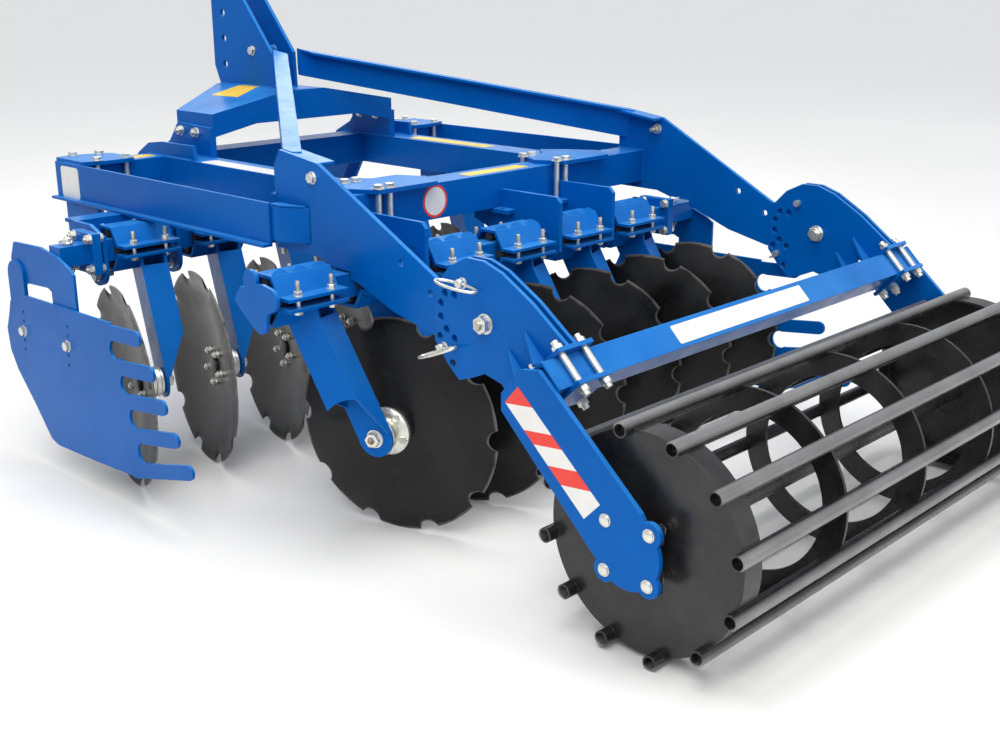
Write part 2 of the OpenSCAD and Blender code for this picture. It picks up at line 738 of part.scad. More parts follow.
module roller_cage() {
    color(black) translate([roller_x, 0, roller_z]) {
        for (a = bar_angles) rotate([0, -a, 0])
            translate([bar_circle, bar_half, 0]) rotate([90, 0, 0]) difference() {
                cylinder(r = bar_r, h = 2 * bar_half);
                translate([0, 0, -1]) cylinder(r = bar_r - bar_wall, h = 22);
                translate([0, 0, 2 * bar_half - 21]) cylinder(r = bar_r - bar_wall, h = 22);
            }
        for (y = [-745, -360, 0, 360, 745]) translate([0, y + 4, 0]) rotate([90, 0, 0])
            difference() {
                cylinder(r = bar_circle - 4, h = 8, $fn = 96);
                if (abs(y) < 700) translate([0, 0, -1]) cylinder(r = 185, h = 10, $fn = 96);
            }
        translate([0, 752, 0]) rotate([90, 0, 0]) cylinder(r = shaft_r, h = 1504);
        translate([0, arm_plate_y - 6, 0]) rotate([90, 0, 0])
            cylinder(r = journal_r, h = 2 * arm_plate_y - 12);
        for (side = [-1, 1]) translate([0, side * 718 + 30, 0]) rotate([90, 0, 0]) difference() {
            cylinder(r = bar_circle - 4, h = 60, $fn = 96);
            translate([0, 0, -1]) cylinder(r = bar_circle - 10, h = 62, $fn = 96);
        }
    }
}

placed() {
    front_cross_tube();
    rear_cross_tube();
    long_tube(1);  // long_tube_left
    long_tube(-1);  // long_tube_right
    mast();
    headstock_bridge();
    hitch_bracket(1);  // hitch_bracket_left
    hitch_bracket(-1);  // hitch_bracket_right
    brace(1);  // brace_left
    brace(-1);  // brace_right
    side_plate(1);  // side_plate_left
    side_plate(-1);  // side_plate_right
    side_rail(1);  // side_rail_left
    side_rail(-1);  // side_rail_right
    beam(front_beam_x, front_beam_ends, front_beam_ends[1] - end_plate_t);  // front_beam
    beam(rear_beam_x, rear_beam_ends, rear_beam_ends[0]);  // rear_beam
    front_hangers();
    rear_hangers();
    clamps(front_beam_x, front_clamps_y, front_lobe_top);  // front_clamps
    clamps(rear_beam_x, rear_clamps_y, rear_lobe_top);  // rear_clamps
    arms(front_beam_x, front_clamps_y, front_angle, 1, 0);  // front_arms
    arms(rear_beam_x, rear_clamps_y, rear_angle, -1, rear_arm_shift);  // rear_arms
    rubbers(front_beam_x, front_clamps_y);  // front_rubbers
    rubbers(rear_beam_x, rear_clamps_y);  // rear_rubbers
    comb_shield_left();
    comb_bracket_left();
    comb_shield_right();
    comb_bracket_right();
    sector(1);  // sector_left
    sector(-1);  // sector_right
    roller_cross_tube();
    tube_clamps();
    end_arm(1);  // end_arm_left
    end_arm(-1);  // end_arm_right
    bearings();
    depth_pins();
    roller_cage();
    for (i = [0:disc_count - 1]) {
        disc_at(front_beam_x, front_clamps_y[i], front_angle, 1, 0);
        disc_at(rear_beam_x, rear_clamps_y[i], rear_angle, -1, rear_arm_shift);
    }
}
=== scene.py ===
"""Looks of a compact mounted disc harrow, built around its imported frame.

Sizes and places are millimetres, measured as in the part's source: +X is the direction of
travel, +Y the machine's left, +Z up, and x and y count from the middle of the frame.
place() turns such a point into a point of the scene.
"""

import math

import bmesh
import bpy
from mathutils import Matrix, Vector


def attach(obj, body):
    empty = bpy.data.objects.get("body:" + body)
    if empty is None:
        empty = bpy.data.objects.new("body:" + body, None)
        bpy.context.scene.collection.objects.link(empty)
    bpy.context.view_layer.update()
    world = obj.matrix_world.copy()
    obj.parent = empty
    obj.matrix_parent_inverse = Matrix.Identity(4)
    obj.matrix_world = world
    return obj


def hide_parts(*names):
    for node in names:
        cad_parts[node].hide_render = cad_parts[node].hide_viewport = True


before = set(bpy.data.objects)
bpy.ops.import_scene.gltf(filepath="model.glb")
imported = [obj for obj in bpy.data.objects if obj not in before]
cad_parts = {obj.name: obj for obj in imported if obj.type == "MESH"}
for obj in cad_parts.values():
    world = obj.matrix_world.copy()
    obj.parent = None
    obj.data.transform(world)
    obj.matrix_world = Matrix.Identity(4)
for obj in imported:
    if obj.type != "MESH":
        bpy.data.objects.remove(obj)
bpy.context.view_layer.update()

MM = 0.001
FRAME_MIDDLE = Vector((-306.231, 128.0, 0.0))
FRONT, REAR = "front", "rear"
SIDES = ((1, "left"), (-1, "right"))
UP = (0, 0, 1)
DOWN = (0, 0, -1)
LEFT = (0, 1, 0)
RIGHT = (0, -1, 0)

# Discs
DISC_R = 280
DISC_T = 5
DISC_DISH = 46
NOTCHES = 10
NOTCH_R = 27
NOTCH_CENTRE = DISC_R + 4
DISC_COUNT = 6
DISC_PITCH = 250

# Hubs
HUB_LEN = 60
HUB_R = 42
HUB_BORE_R = 24
HUB_FLANGE_R = 61
HUB_BOLT_CIRCLE = 49
HUB_BOLTS = 5
HUB_BOLT_CORNER = 10.5

# Beams and arms
FRONT_BEAM_X = 376
REAR_BEAM_X = -425
BEAM_Z = 634
BEAM_HALF = 30
ARM_BACK = 186
ARM_T = 8
ARM_DROP = BEAM_Z - DISC_R
FOOT_Y = 4
CLAMP_BOLT_X = 80
CLAMP_BOLT_Y = 50
FLANGE_OUT = 17
ROWS = {
    FRONT: {"x": FRONT_BEAM_X, "first_y": 800, "angle": 14, "side": 1, "shift": 0},
    REAR: {"x": REAR_BEAM_X, "first_y": 853, "angle": 18, "side": -1, "shift": 40},
}

# Frame
FRAME_TOP = 812
TUBE_W = 100
STRAP_T = 12
REAR_TUBE_X = -222
FRONT_TUBE_X = 790
LONG_Y = 412
SIDE_Y = 701
RAIL_Y = 750
BRIDGE_TOP = 1000
BRACKET_FACE_Y = 362
HANGER_BOLT_Z = 562
MAST_FACE_Y = 50
SHIELD_T = 8
SHIELD_LEFT_Y = 1052
SHIELD_RIGHT_Y = 742

# Roller frame and roller
PIVOT_X = -932
PIVOT_Z = 628
CROSS_X = -1166
CROSS_Z = 556
CROSS_HALF = 35
END_ARM_Y = 804
BEARING_BOLT = 55
ROLLER_X = -1408
ROLLER_Z = 259.46
BAR_CIRCLE = 247
BAR_R = 17

# Depth pins: x and z, then the lean and dip of the pull ring in degrees, and its drop
UPPER_PIN = (-864, 709.8, 3, -4, -3)
LOWER_PIN = (-802, 549, -6, 21, -8)
PIN_HEAD_Y = 718
PULL_RING_OUT = 24
PULL_RING_REACH = 61
PULL_RING_WIDTH = 24
PULL_RING_WIRE = 3.6

# Bolts by thread size: corner radius of head and nut, head height, nut height, washer radius
BOLT_SIZES = {
    12: (11.0, 7.5, 10.0, 12.5),
    14: (12.7, 9.0, 12.0, 14.5),
    16: (13.9, 10.0, 13.0, 16.0),
    24: (20.8, 15.0, 19.0, 23.5),
}
WASHER_T = 2.5
# The most that a fastener is turned at random, in radians
RANDOM_TURN = 1.047
FRAME_BEAD = 7.0
THIN_BEAD = 6.0
BEAD_RIPPLE = 3.2
FILM_T = 0.6

# The photograph's camera
CAMERA_AT = Vector((-2.5348, 2.538, 1.373))
CAMERA_YAW = -46.26
CAMERA_DOWN = 17.56
CAMERA_ROLL = 0.06
CAMERA_LENS = 46.1


def place(x, y, z):
    """A point measured from the frame's middle, in millimetres, as a point of the scene."""
    return (Vector((x, y, z)) - FRAME_MIDDLE) * MM


# Materials

def new_material(name):
    material = bpy.data.materials.new(name)
    material.use_nodes = True
    return material, material.node_tree, material.node_tree.nodes["Principled BSDF"]


def set_inputs(tree, node, inputs):
    """Sets a node's inputs, each to a value or to another node's output."""
    for socket, value in dict(inputs).items():
        if isinstance(value, bpy.types.NodeSocket):
            tree.links.new(value, node.inputs[socket])
        else:
            node.inputs[socket].default_value = value


def add_node(tree, kind, inputs=(), **settings):
    node = tree.nodes.new(kind)
    for key, value in settings.items():
        setattr(node, key, value)
    set_inputs(tree, node, inputs)
    return node


def math_node(tree, operation, *values):
    return add_node(tree, "ShaderNodeMath", dict(enumerate(values)), operation=operation).outputs[0]


def vector_math(tree, operation, *values):
    """The outputs of a vector operation: a vector as 0, and a number as Value."""
    return add_node(tree, "ShaderNodeVectorMath", dict(enumerate(values)),
                    operation=operation).outputs


def ramp(tree, value, low, high, to_low=0.0, to_high=1.0):
    return add_node(tree, "ShaderNodeMapRange", {
        0: value, 1: low, 2: high, 3: to_low, 4: to_high}).outputs[0]


def object_point(tree):
    return add_node(tree, "ShaderNodeTexCoord").outputs["Object"]


def noise(tree, scale, detail=4.0, roughness=0.55, point=None, distortion=0.0):
    return add_node(tree, "ShaderNodeTexNoise", {
        "Vector": point or object_point(tree), "Scale": scale, "Detail": detail,
        "Roughness": roughness, "Distortion": distortion}).outputs["Fac"]


def patches(tree, scale, low, high, to_low=0.0, to_high=1.0, detail=4.0):
    """Soft patches: to_low where the noise is under low, and to_high where it is over high."""
    return ramp(tree, noise(tree, scale, detail), low, high, to_low, to_high)


def blend_colours(tree, amount, under, over):
    """A mix of two colours, each a triple or another node's output."""
    under, over = [(*c, 1) if isinstance(c, tuple) else c for c in (under, over)]
    return add_node(tree, "ShaderNodeMix", {0: amount, 6: under, 7: over},
                    data_type="RGBA").outputs[2]


def edge_share(tree, radius, low, high):
    """0 on a flat and up to 1 at an edge, with the normal rounded over that radius."""
    rounded = add_node(tree, "ShaderNodeBevel", {"Radius": radius}, samples=6).outputs[0]
    flat = add_node(tree, "ShaderNodeNewGeometry").outputs["Normal"]
    turn = vector_math(tree, "DOT_PRODUCT", rounded, flat)["Value"]
    return ramp(tree, turn, 1 - low, 1 - high), rounded


def bump(tree, height, strength, distance, normal=None):
    inputs = {"Height": height, "Strength": strength, "Distance": distance}
    if normal:
        inputs["Normal"] = normal
    return add_node(tree, "ShaderNodeBump", inputs).outputs[0]


def painted_blue():
    """Gloss blue on sheet steel, with painted sky light on top faces and thin paint at the edges."""
    deep_blue = (0.0, 0.090, 0.38)
    full_blue = (0.0, 0.112, 0.46)
    thin_blue = (0.03, 0.26, 0.72)
    primer_grey = (0.25, 0.27, 0.30)
    sky_lit_blue = (0.07, 0.38, 0.86)
    material, tree, shader = new_material("frame_blue")
    edge, rounded = edge_share(tree, 0.0025, 0.02, 0.25)
    shade = blend_colours(tree, patches(tree, 3.0, 0.3, 0.7), deep_blue, full_blue)
    thin = math_node(tree, "MULTIPLY", edge, patches(tree, 60.0, 0.35, 0.6, 0.35, 0.7))
    shade = blend_colours(tree, thin, shade, thin_blue)
    chips = math_node(tree, "MULTIPLY", edge, patches(tree, 110.0, 0.66, 0.7, detail=5.0))
    shade = blend_colours(tree, chips, shade, primer_grey)
    # Painted sky light: faces that point up are blended, in patches, towards a lighter blue.
    normal = add_node(tree, "ShaderNodeNewGeometry").outputs["Normal"]
    up = add_node(tree, "ShaderNodeSeparateXYZ", {0: normal}).outputs[2]
    sky_light_on_tops = math_node(tree, "MULTIPLY", ramp(tree, up, 0.25, 0.95),
                     patches(tree, 5.0, 0.35, 0.75, 0.22, 0.48, detail=5.0))
    set_inputs(tree, shader, {
        "Base Color": blend_colours(tree, sky_light_on_tops, shade, sky_lit_blue),
        "Roughness": patches(tree, 16.0, 0.3, 0.75, 0.26, 0.40),
        "Normal": bump(tree, noise(tree, 22.0, 1.0), 0.10, 0.003, rounded),
        "Coat Weight": 0.03,
        "Coat Roughness": 0.05,
        "Specular IOR Level": 0.26,
        "Specular Tint": (0.12, 0.5, 1.0, 1)})
    return material


def zinc_plate():
    """Bright zinc with a faint yellow passivation and duller patches at random."""
    yellow_zinc = (0.70, 0.69, 0.60)
    bright_zinc = (0.82, 0.82, 0.77)
    dull_zinc = (0.45, 0.42, 0.36)
    worn_zinc = (0.88, 0.88, 0.85)
    material, tree, shader = new_material("zinc")
    edge, rounded = edge_share(tree, 0.0008, 0.05, 0.5)
    shade = blend_colours(tree, patches(tree, 60.0, 0.35, 0.65, detail=3.0), yellow_zinc, bright_zinc)
    dulled = patches(tree, 150.0, 0.6, 0.85, 0.0, 0.4, detail=5.0)
    shade = blend_colours(tree, dulled, shade, dull_zinc)
    set_inputs(tree, shader, {
        "Base Color": blend_colours(tree, edge, shade, worn_zinc),
        "Metallic": 0.85,
        "Roughness": patches(tree, 120.0, 0.3, 0.7, 0.28, 0.46),
        "Normal": rounded})
    return material


def thread_zinc():
    """Duller zinc in the turns of a thread, with specks of rust."""
    dark_zinc = (0.40, 0.39, 0.34)
    light_zinc = (0.62, 0.60, 0.52)
    rust_brown = (0.25, 0.13, 0.07)
    material, tree, shader = new_material("thread_zinc")
    shade = blend_colours(tree, patches(tree, 90.0, 0.35, 0.7, detail=5.0), dark_zinc, light_zinc)
    specks = patches(tree, 170.0, 0.62, 0.75, 0.0, 0.6, detail=5.0)
    set_inputs(tree, shader, {
        "Base Color": blend_colours(tree, specks, shade, rust_brown),
        "Metallic": 0.8,
        "Roughness": patches(tree, 150.0, 0.3, 0.7, 0.34, 0.55, detail=3.0),
        "Normal": bump(tree, noise(tree, 700.0, 2.0), 0.25, 0.0005)})
    return material


def axle_steel():
    """Bare and slightly rusty steel, as on the ends of axles."""
    bare_grey = (0.36, 0.34, 0.31)
    rust_brown = (0.20, 0.075, 0.035)
    material, tree, shader = new_material("bare_steel")
    rust = patches(tree, 120.0, 0.4, 0.62, detail=6.0)
    set_inputs(tree, shader, {
        "Base Color": blend_colours(tree, rust, bare_grey, rust_brown),
        "Metallic": ramp(tree, rust, 0.0, 1.0, 0.8, 0.1),
        "Roughness": ramp(tree, rust, 0.0, 1.0, 0.35, 0.8),
        "Normal": bump(tree, noise(tree, 300.0, 4.0), 0.2, 0.0005)})
    return material


def disc_lacquer():
    """Black lacquer on a pressed disc, cloudy in its gloss, with turning marks and a worn edge."""
    black = (0.005, 0.005, 0.005)
    soft_black = (0.016, 0.016, 0.017)
    ring_grey = (0.050, 0.048, 0.047)
    edge_grey = (0.20, 0.19, 0.18)
    material, tree, shader = new_material("disc_black")
    around = add_node(tree, "ShaderNodeUVMap", uv_map="polar").outputs[0]
    radius = add_node(tree, "ShaderNodeSeparateXYZ", {0: around}).outputs[1]
    drawn_out = vector_math(tree, "MULTIPLY", around, (2.0, 140.0, 1.0))[0]
    rings = noise(tree, 1.0, 3.0, 0.6, drawn_out)
    cloud = noise(tree, 5.5, 3.0, 0.5, distortion=0.6)
    shade = blend_colours(tree, ramp(tree, cloud, 0.35, 0.7), black, soft_black)
    shade = blend_colours(tree, ramp(tree, rings, 0.55, 0.75, 0.0, 0.25), shade, ring_grey)
    uneven = math_node(tree, "ADD", radius, patches(tree, 30.0, 0.3, 0.7, -0.012, 0.012))
    bare = math_node(tree, "MULTIPLY", ramp(tree, uneven, 0.972, 0.992), 0.6)
    set_inputs(tree, shader, {
        "Base Color": blend_colours(tree, bare, shade, edge_grey),
        "Metallic": bare,
        "Roughness": ramp(tree, cloud, 0.3, 0.7, 0.16, 0.40),
        "Normal": bump(tree, rings, 0.05, 0.0006),
        "Specular IOR Level": 0.24})
    return material


def roller_paint():
    """Black paint, a smooth grey on the outer side of the bars: part polish wear, part painted sheen.
    """
    black = (0.010, 0.010, 0.011)
    soft_black = (0.022, 0.022, 0.024)
    edge_grey = (0.14, 0.14, 0.14)
    polish_and_sheen_grey = (0.25, 0.25, 0.255)
    material, tree, shader = new_material("roller_black")
    edge, rounded = edge_share(tree, 0.0015, 0.03, 0.3)
    middle = tuple(place(ROLLER_X, 0, ROLLER_Z))
    from_middle = vector_math(tree, "SUBTRACT", object_point(tree), middle)[0]
    across = vector_math(tree, "MULTIPLY", from_middle, (1, 0, 1))[0]
    radius = vector_math(tree, "LENGTH", across)["Value"]
    # Lighter grey on the outer side of the bars: part polish wear, part painted sheen.
    outer = ramp(tree, radius, (BAR_CIRCLE + 0.2 * BAR_R) * MM, (BAR_CIRCLE + 0.8 * BAR_R) * MM)
    uneven = ramp(tree, noise(tree, 9.0, 3.0, 0.5), 0.3, 0.7, 0.6, 1.0)
    polish_and_sheen = math_node(tree, "MULTIPLY", outer, uneven)
    shade = blend_colours(tree, patches(tree, 20.0, 0.35, 0.7), black, soft_black)
    shade = blend_colours(tree, math_node(tree, "MULTIPLY", edge, 0.5), shade, edge_grey)
    set_inputs(tree, shader, {
        "Base Color": blend_colours(tree, polish_and_sheen, shade, polish_and_sheen_grey),
        "Metallic": math_node(tree, "MULTIPLY", polish_and_sheen, 0.5),
        "Roughness": patches(tree, 30.0, 0.3, 0.7, 0.22, 0.36),
        "Normal": bump(tree, noise(tree, 120.0, 3.0), 0.06, 0.0006, rounded)})
    return material


def damper_rubber():
    dark_rubber = (0.014, 0.012, 0.011)
    pale_rubber = (0.042, 0.036, 0.032)
    material, tree, shader = new_material("damper_rubber")
    clouds = patches(tree, 55.0, 0.35, 0.7, detail=6.0)
    set_inputs(tree, shader, {
        "Base Color": blend_colours(tree, clouds, dark_rubber, pale_rubber),
        "Roughness": patches(tree, 80.0, 0.3, 0.7, 0.62, 0.85),
        "Normal": bump(tree, noise(tree, 500.0, 3.0), 0.35, 0.0008)})
    return material


def film(name, colour):
    """Printed film of a sticker or reflective strip, a little dirty."""
    dirty = tuple(0.72 * c for c in colour)
    material, tree, shader = new_material(name)
    dirt = patches(tree, 30.0, 0.45, 0.8, 0.0, 0.3, detail=7.0)
    set_inputs(tree, shader, {
        "Base Color": blend_colours(tree, dirt, colour, dirty),
        "Roughness": patches(tree, 18.0, 0.3, 0.7, 0.3, 0.45),
        "Normal": bump(tree, noise(tree, 800.0, 2.0), 0.06, 0.0003)})
    return material


BLUE = painted_blue()
ZINC = zinc_plate()
DISC = disc_lacquer()
ROLLER = roller_paint()
THREAD = thread_zinc()
STEEL = axle_steel()
RUBBER = damper_rubber()
WHITE = film("film_white", (0.80, 0.79, 0.76))
RED = film("film_red", (0.80, 0.045, 0.03))
YELLOW = film("film_yellow", (0.85, 0.56, 0.03))

NODE_MATERIALS = {"roller_cage": ROLLER, "bearings": ROLLER, "tube_clamps": ZINC,
                  "depth_pins": ZINC, "front_rubbers": RUBBER, "rear_rubbers": RUBBER}
for node_name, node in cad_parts.items():
    if node_name.startswith("disc_"):
        continue
    node.data.materials.clear()
    node.data.materials.append(NODE_MATERIALS.get(node_name, BLUE))


# Meshes

def piece(name, mesh, body, materials, smooth_angle=32):
    """A finished mesh as a piece that rides on a body, smooth up to an angle."""
    for material in materials:
        mesh.materials.append(material)
    for face in mesh.polygons:
        face.use_smooth = True
    mesh.set_sharp_from_angle(angle=math.radians(smooth_angle))
    made = bpy.data.objects.new(name, mesh)
    bpy.context.scene.collection.objects.link(made)
    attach(made, body)
    return made


def mesh_of(shape, name):
    """The shape as a mesh, with its faces pointing outwards."""
    bmesh.ops.recalc_face_normals(shape, faces=shape.faces)
    mesh = bpy.data.meshes.new(name)
    shape.to_mesh(mesh)
    shape.free()
    return mesh


def cylinder(radius, low, high):
    """The profile of a plain round bar or washer, for turned()."""
    return [(0, low), (radius, low), (radius, high), (0, high)]


def turned(shape, profile, steps, matrix, material_index=0, closed=False):
    """Turns a profile of (radius, height) round the z axis; a radius of 0 closes an end."""
    angles = [2 * math.pi * k / steps for k in range(steps)]
    rings = []
    for radius, height in profile:
        if radius == 0:
            rings.append([shape.verts.new(matrix @ Vector((0, 0, height)))])
            continue
        rings.append([shape.verts.new(matrix @ Vector(
            (radius * math.cos(a), radius * math.sin(a), height))) for a in angles])
    pairs = list(zip(rings, rings[1:]))
    if closed:
        pairs.append((rings[-1], rings[0]))
    for low, high in pairs:
        for k in range(steps):
            corners = []
            for ring, index in ((low, k), (low, k + 1), (high, k + 1), (high, k)):
                vertex = ring[index % len(ring)]
                if vertex not in corners:
                    corners.append(vertex)
            if len(corners) > 2:
                shape.faces.new(corners).material_index = material_index


def hex_prism(shape, matrix, radius, low, high, material_index=0):
    """A bolt head or nut: six sides with the upper corners turned off."""
    cut = radius * 0.12
    profile = [(0, low), (radius, low), (radius, high - cut * 0.6), (radius - cut, high), (0, high)]
    turned(shape, profile, 6, matrix, material_index)


def prism(shape, low_points, high_points, material_index=0):
    """A closed piece between two outlines of scene points with as many corners."""
    low = [shape.verts.new(point) for point in low_points]
    high = [shape.verts.new(point) for point in high_points]
    faces = [shape.faces.new(low), shape.faces.new(high)]
    for k in range(len(low)):
        n = (k + 1) % len(low)
        faces.append(shape.faces.new([low[k], low[n], high[n], high[k]]))
    for face in faces:
        face.material_index = material_index


def ring_wire(shape, matrix, reach, width, radius, steps=40, sides=10):
    """A long ring of round wire in the matrix's XY plane."""
    loops = []
    for k in range(steps):
        a = 2 * math.pi * k / steps
        centre = Vector((reach * math.cos(a), width * math.sin(a), 0))
        along = Vector((-reach * math.sin(a), width * math.cos(a), 0)).normalized()
        across = along.cross(Vector(UP))
        loop = []
        for m in range(sides):
            b = 2 * math.pi * m / sides
            offset = across * math.cos(b) * radius + Vector((0, 0, math.sin(b) * radius))
            loop.append(shape.verts.new(matrix @ (centre + offset)))
        loops.append(loop)
    for k in range(steps):
        for m in range(sides):
            near, far = loops[k], loops[(k + 1) % steps]
            shape.faces.new([near[m], near[(m + 1) % sides], far[(m + 1) % sides], far[m]])


# Discs and hubs

def rim_radius(angle):
    """Radius of the disc's edge at an angle, drawn in at the notches."""
    pitch = 2 * math.pi / NOTCHES
    off = (angle + pitch / 2) % pitch - pitch / 2
    across = NOTCH_CENTRE * math.sin(off)
    if abs(across) >= NOTCH_R:
        return DISC_R
    return min(DISC_R, NOTCH_CENTRE * math.cos(off) - math.sqrt(NOTCH_R ** 2 - across ** 2))


def rim_angles():
    """Angles round the disc, close together in each notch and wider along each tooth."""
    notch_steps = 5
    tooth_steps = 8
    short_of_corner = 0.995
    pitch = 2 * math.pi / NOTCHES
    half = math.asin(NOTCH_R / NOTCH_CENTRE) * short_of_corner
    steps = [half * math.sin(math.pi / 2 * k / notch_steps)
             for k in range(-notch_steps, notch_steps + 1)]
    steps += [half + (pitch - 2 * half) * k / tooth_steps for k in range(1, tooth_steps)]
    return [i * pitch + step for i in range(NOTCHES) for step in steps]


def dish_height(radius):
    ball = (DISC_R ** 2 + DISC_DISH ** 2) / (2 * DISC_DISH)
    flat = math.sqrt(ball ** 2 - HUB_FLANGE_R ** 2)
    return flat - math.sqrt(ball ** 2 - max(radius, HUB_FLANGE_R) ** 2)


def dish_mesh(shape, matrix):
    """The notched dish: two skins between the hub's hole and an edge ground from one side."""
    angles = rim_angles()
    count = len(angles)
    polar = shape.loops.layers.uv.new("polar")
    shares = [0.0, 0.08, 0.2, 0.4, 0.6, 0.78, 0.9, 0.96, 1.0]
    ground_from = 0.95
    ground_depth = 0.7
    skins = []
    for thick in (0, 1):
        skin = []
        for share in shares:
            ground = max(0.0, (share - ground_from) / (1 - ground_from))
            lift = thick * DISC_T * (1 - ground_depth * ground)
            ring = []
            for angle in angles:
                radius = HUB_BORE_R + share * (rim_radius(angle) - HUB_BORE_R)
                point = Vector((radius * math.cos(angle), radius * math.sin(angle),
                                dish_height(radius) + lift))
                ring.append((shape.verts.new(matrix @ point), angle / (2 * math.pi), share))
            skin.append(ring)
        skins.append(skin)

    def wall(low, high):
        for k in range(count):
            corners = [low[k], low[(k + 1) % count], high[(k + 1) % count], high[k]]
            face = shape.faces.new([c[0] for c in corners])
            last = 1.0 if k == count - 1 else 0.0
            for loop, corner, wrapped in zip(face.loops, corners, (0, last, last, 0)):
                loop[polar].uv = (corner[1] + wrapped, corner[2])

    for skin in skins:
        for low, high in zip(skin, skin[1:]):
            wall(low, high)
    wall(skins[0][-1], skins[1][-1])
    wall(skins[0][0], skins[1][0])


def disc_matrix(row, index):
    """From a disc's own frame, z out along its axle from the arm's foot, to the scene."""
    values = ROWS[row]
    beam = Matrix.Translation(place(values["x"], values["first_y"] - index * DISC_PITCH, BEAM_Z))
    flip = Matrix.Diagonal((1, values["side"], 1, 1))
    turn = Matrix.Rotation(math.radians(-values["angle"]), 4, "Z")
    arm = Matrix.Translation((-ARM_BACK, values["shift"], -ARM_DROP))
    axle = Matrix.Rotation(math.radians(-90), 4, "X")
    return beam @ Matrix.Scale(MM, 4) @ flip @ turn @ arm @ axle


def hub_profile(arm_face, disc_face):
    """The hub in section: a collar at the arm, a waist, and the flange behind the disc."""
    collar = HUB_R - 4
    waist = HUB_R - 3
    back = disc_face - 0.5
    return [(HUB_BORE_R, arm_face + 1.2), (HUB_R - 8, arm_face + 1.2), (collar, arm_face + 4),
            (collar, arm_face + 10), (HUB_R, arm_face + 13), (HUB_R, arm_face + 24),
            (waist, arm_face + 27), (waist, disc_face - 18), (HUB_FLANGE_R - 3, disc_face - 12),
            (HUB_FLANGE_R, disc_face - 9), (HUB_FLANGE_R, back), (HUB_BORE_R, back)]


def hub_bolt(shape, bolt, top):
    """A bolt of the hub: washer, nut and thread end on the disc, and its head behind the flange."""
    behind_flange = top - DISC_T - 12
    turned(shape, cylinder(11, top - 1, top + 2), 24, bolt, 1)
    hex_prism(shape, bolt, HUB_BOLT_CORNER, top + 1.9, top + 12, 1)
    turned(shape, [(0, top + 11), (6, top + 11), (6, top + 15), (5.2, top + 16), (0, top + 16)],
           16, bolt, 1)
    back = bolt @ Matrix.Translation((0, 0, behind_flange)) @ Matrix.Rotation(math.pi, 4, "X")
    hex_prism(shape, back, HUB_BOLT_CORNER, -1, 7, 1)


def disc_piece(row, index):
    """A disc with its hub, cap and bolts, in place of the plain solid."""
    matrix = disc_matrix(row, index)
    arm_face = FOOT_Y + ARM_T
    disc_face = arm_face + HUB_LEN
    top = disc_face + DISC_T
    shape = bmesh.new()
    dish_mesh(shape, matrix @ Matrix.Translation((0, 0, disc_face)))
    turned(shape, hub_profile(arm_face, disc_face), 48, matrix, 1, closed=True)
    cap = [(0, disc_face - 4), (26, disc_face - 4), (26, top + 3), (24, top + 7), (12, top + 9),
           (0, top + 9.5)]
    turned(shape, cap, 36, matrix)
    for k in range(HUB_BOLTS):
        angle = 2 * math.pi * (k + 0.25) / HUB_BOLTS
        at = (HUB_BOLT_CIRCLE * math.cos(angle), HUB_BOLT_CIRCLE * math.sin(angle), 0)
        hub_bolt(shape, matrix @ Matrix.Translation(at), top)
    body = f"disc_{row}_{index + 1}"
    made = piece(body + "_disc_and_hub", mesh_of(shape, body), body,
                 [DISC, ZINC], smooth_angle=28)
    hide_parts(body)


for row_name in ROWS:
    for disc_index in range(DISC_COUNT):
        disc_piece(row_name, disc_index)


# Repeated fasteners and weld beads, by Geometry Nodes

def bolt_profile(shape, size, grip, head=True, thread=1.2):
    """A bolt through a grip: head on top of z = 0, shank, and nut and thread end below it."""
    corner, head_h, nut_h, washer_r = BOLT_SIZES[size]
    shank = size / 2
    bare = shape.faces.layers.bool.new("bare")
    still = Matrix.Identity(4)

    def part(profile, steps, is_bare=False):
        before = set(shape.faces)
        turned(shape, [(r * MM, z * MM) for r, z in profile], steps, still)
        for face in set(shape.faces) - before:
            face[bare] = is_bare

    def hexagon(low, height):
        cut = corner * 0.1
        high = low + height
        part([(0, low), (corner - cut, low), (corner, low + cut * 0.6), (corner, high - cut * 0.6),
              (corner - cut, high), (0, high)], 6)

    def round_head(low):
        part([(0, low), (corner, low), (corner * 0.96, low + head_h * 0.35),
              (corner * 0.7, low + head_h * 0.6), (0, low + head_h * 0.7)], 20)

    part(cylinder(washer_r, 0, WASHER_T), 20)
    if head:
        hexagon(WASHER_T, head_h)
    else:
        round_head(WASHER_T)
    part(cylinder(shank, -grip, 0), 12)
    part(cylinder(washer_r, -grip - WASHER_T, -grip), 20)
    low = -grip - WASHER_T - nut_h
    hexagon(low, nut_h)
    end = low - thread * size
    part([(0, end), (shank * 0.8, end), (shank * 0.96, end + shank * 0.25), (shank * 0.96, low + 1),
          (0, low + 1)], 12, True)


def node_tree(name, sockets):
    """An empty Geometry Nodes tree with its named inputs and one geometry out."""
    tree = bpy.data.node_groups.new(name, "GeometryNodeTree")
    tree.is_modifier = True
    for socket, kind in [("Places", "NodeSocketGeometry"), *sockets]:
        tree.interface.new_socket(socket, in_out="INPUT", socket_type=kind)
    tree.interface.new_socket("Result", in_out="OUTPUT", socket_type="NodeSocketGeometry")
    return tree, tree.nodes.new("NodeGroupInput").outputs, tree.nodes.new("NodeGroupOutput")


def named_attribute(tree, name, kind):
    return add_node(tree, "GeometryNodeInputNamedAttribute", {"Name": name},
                    data_type=kind).outputs["Attribute"]


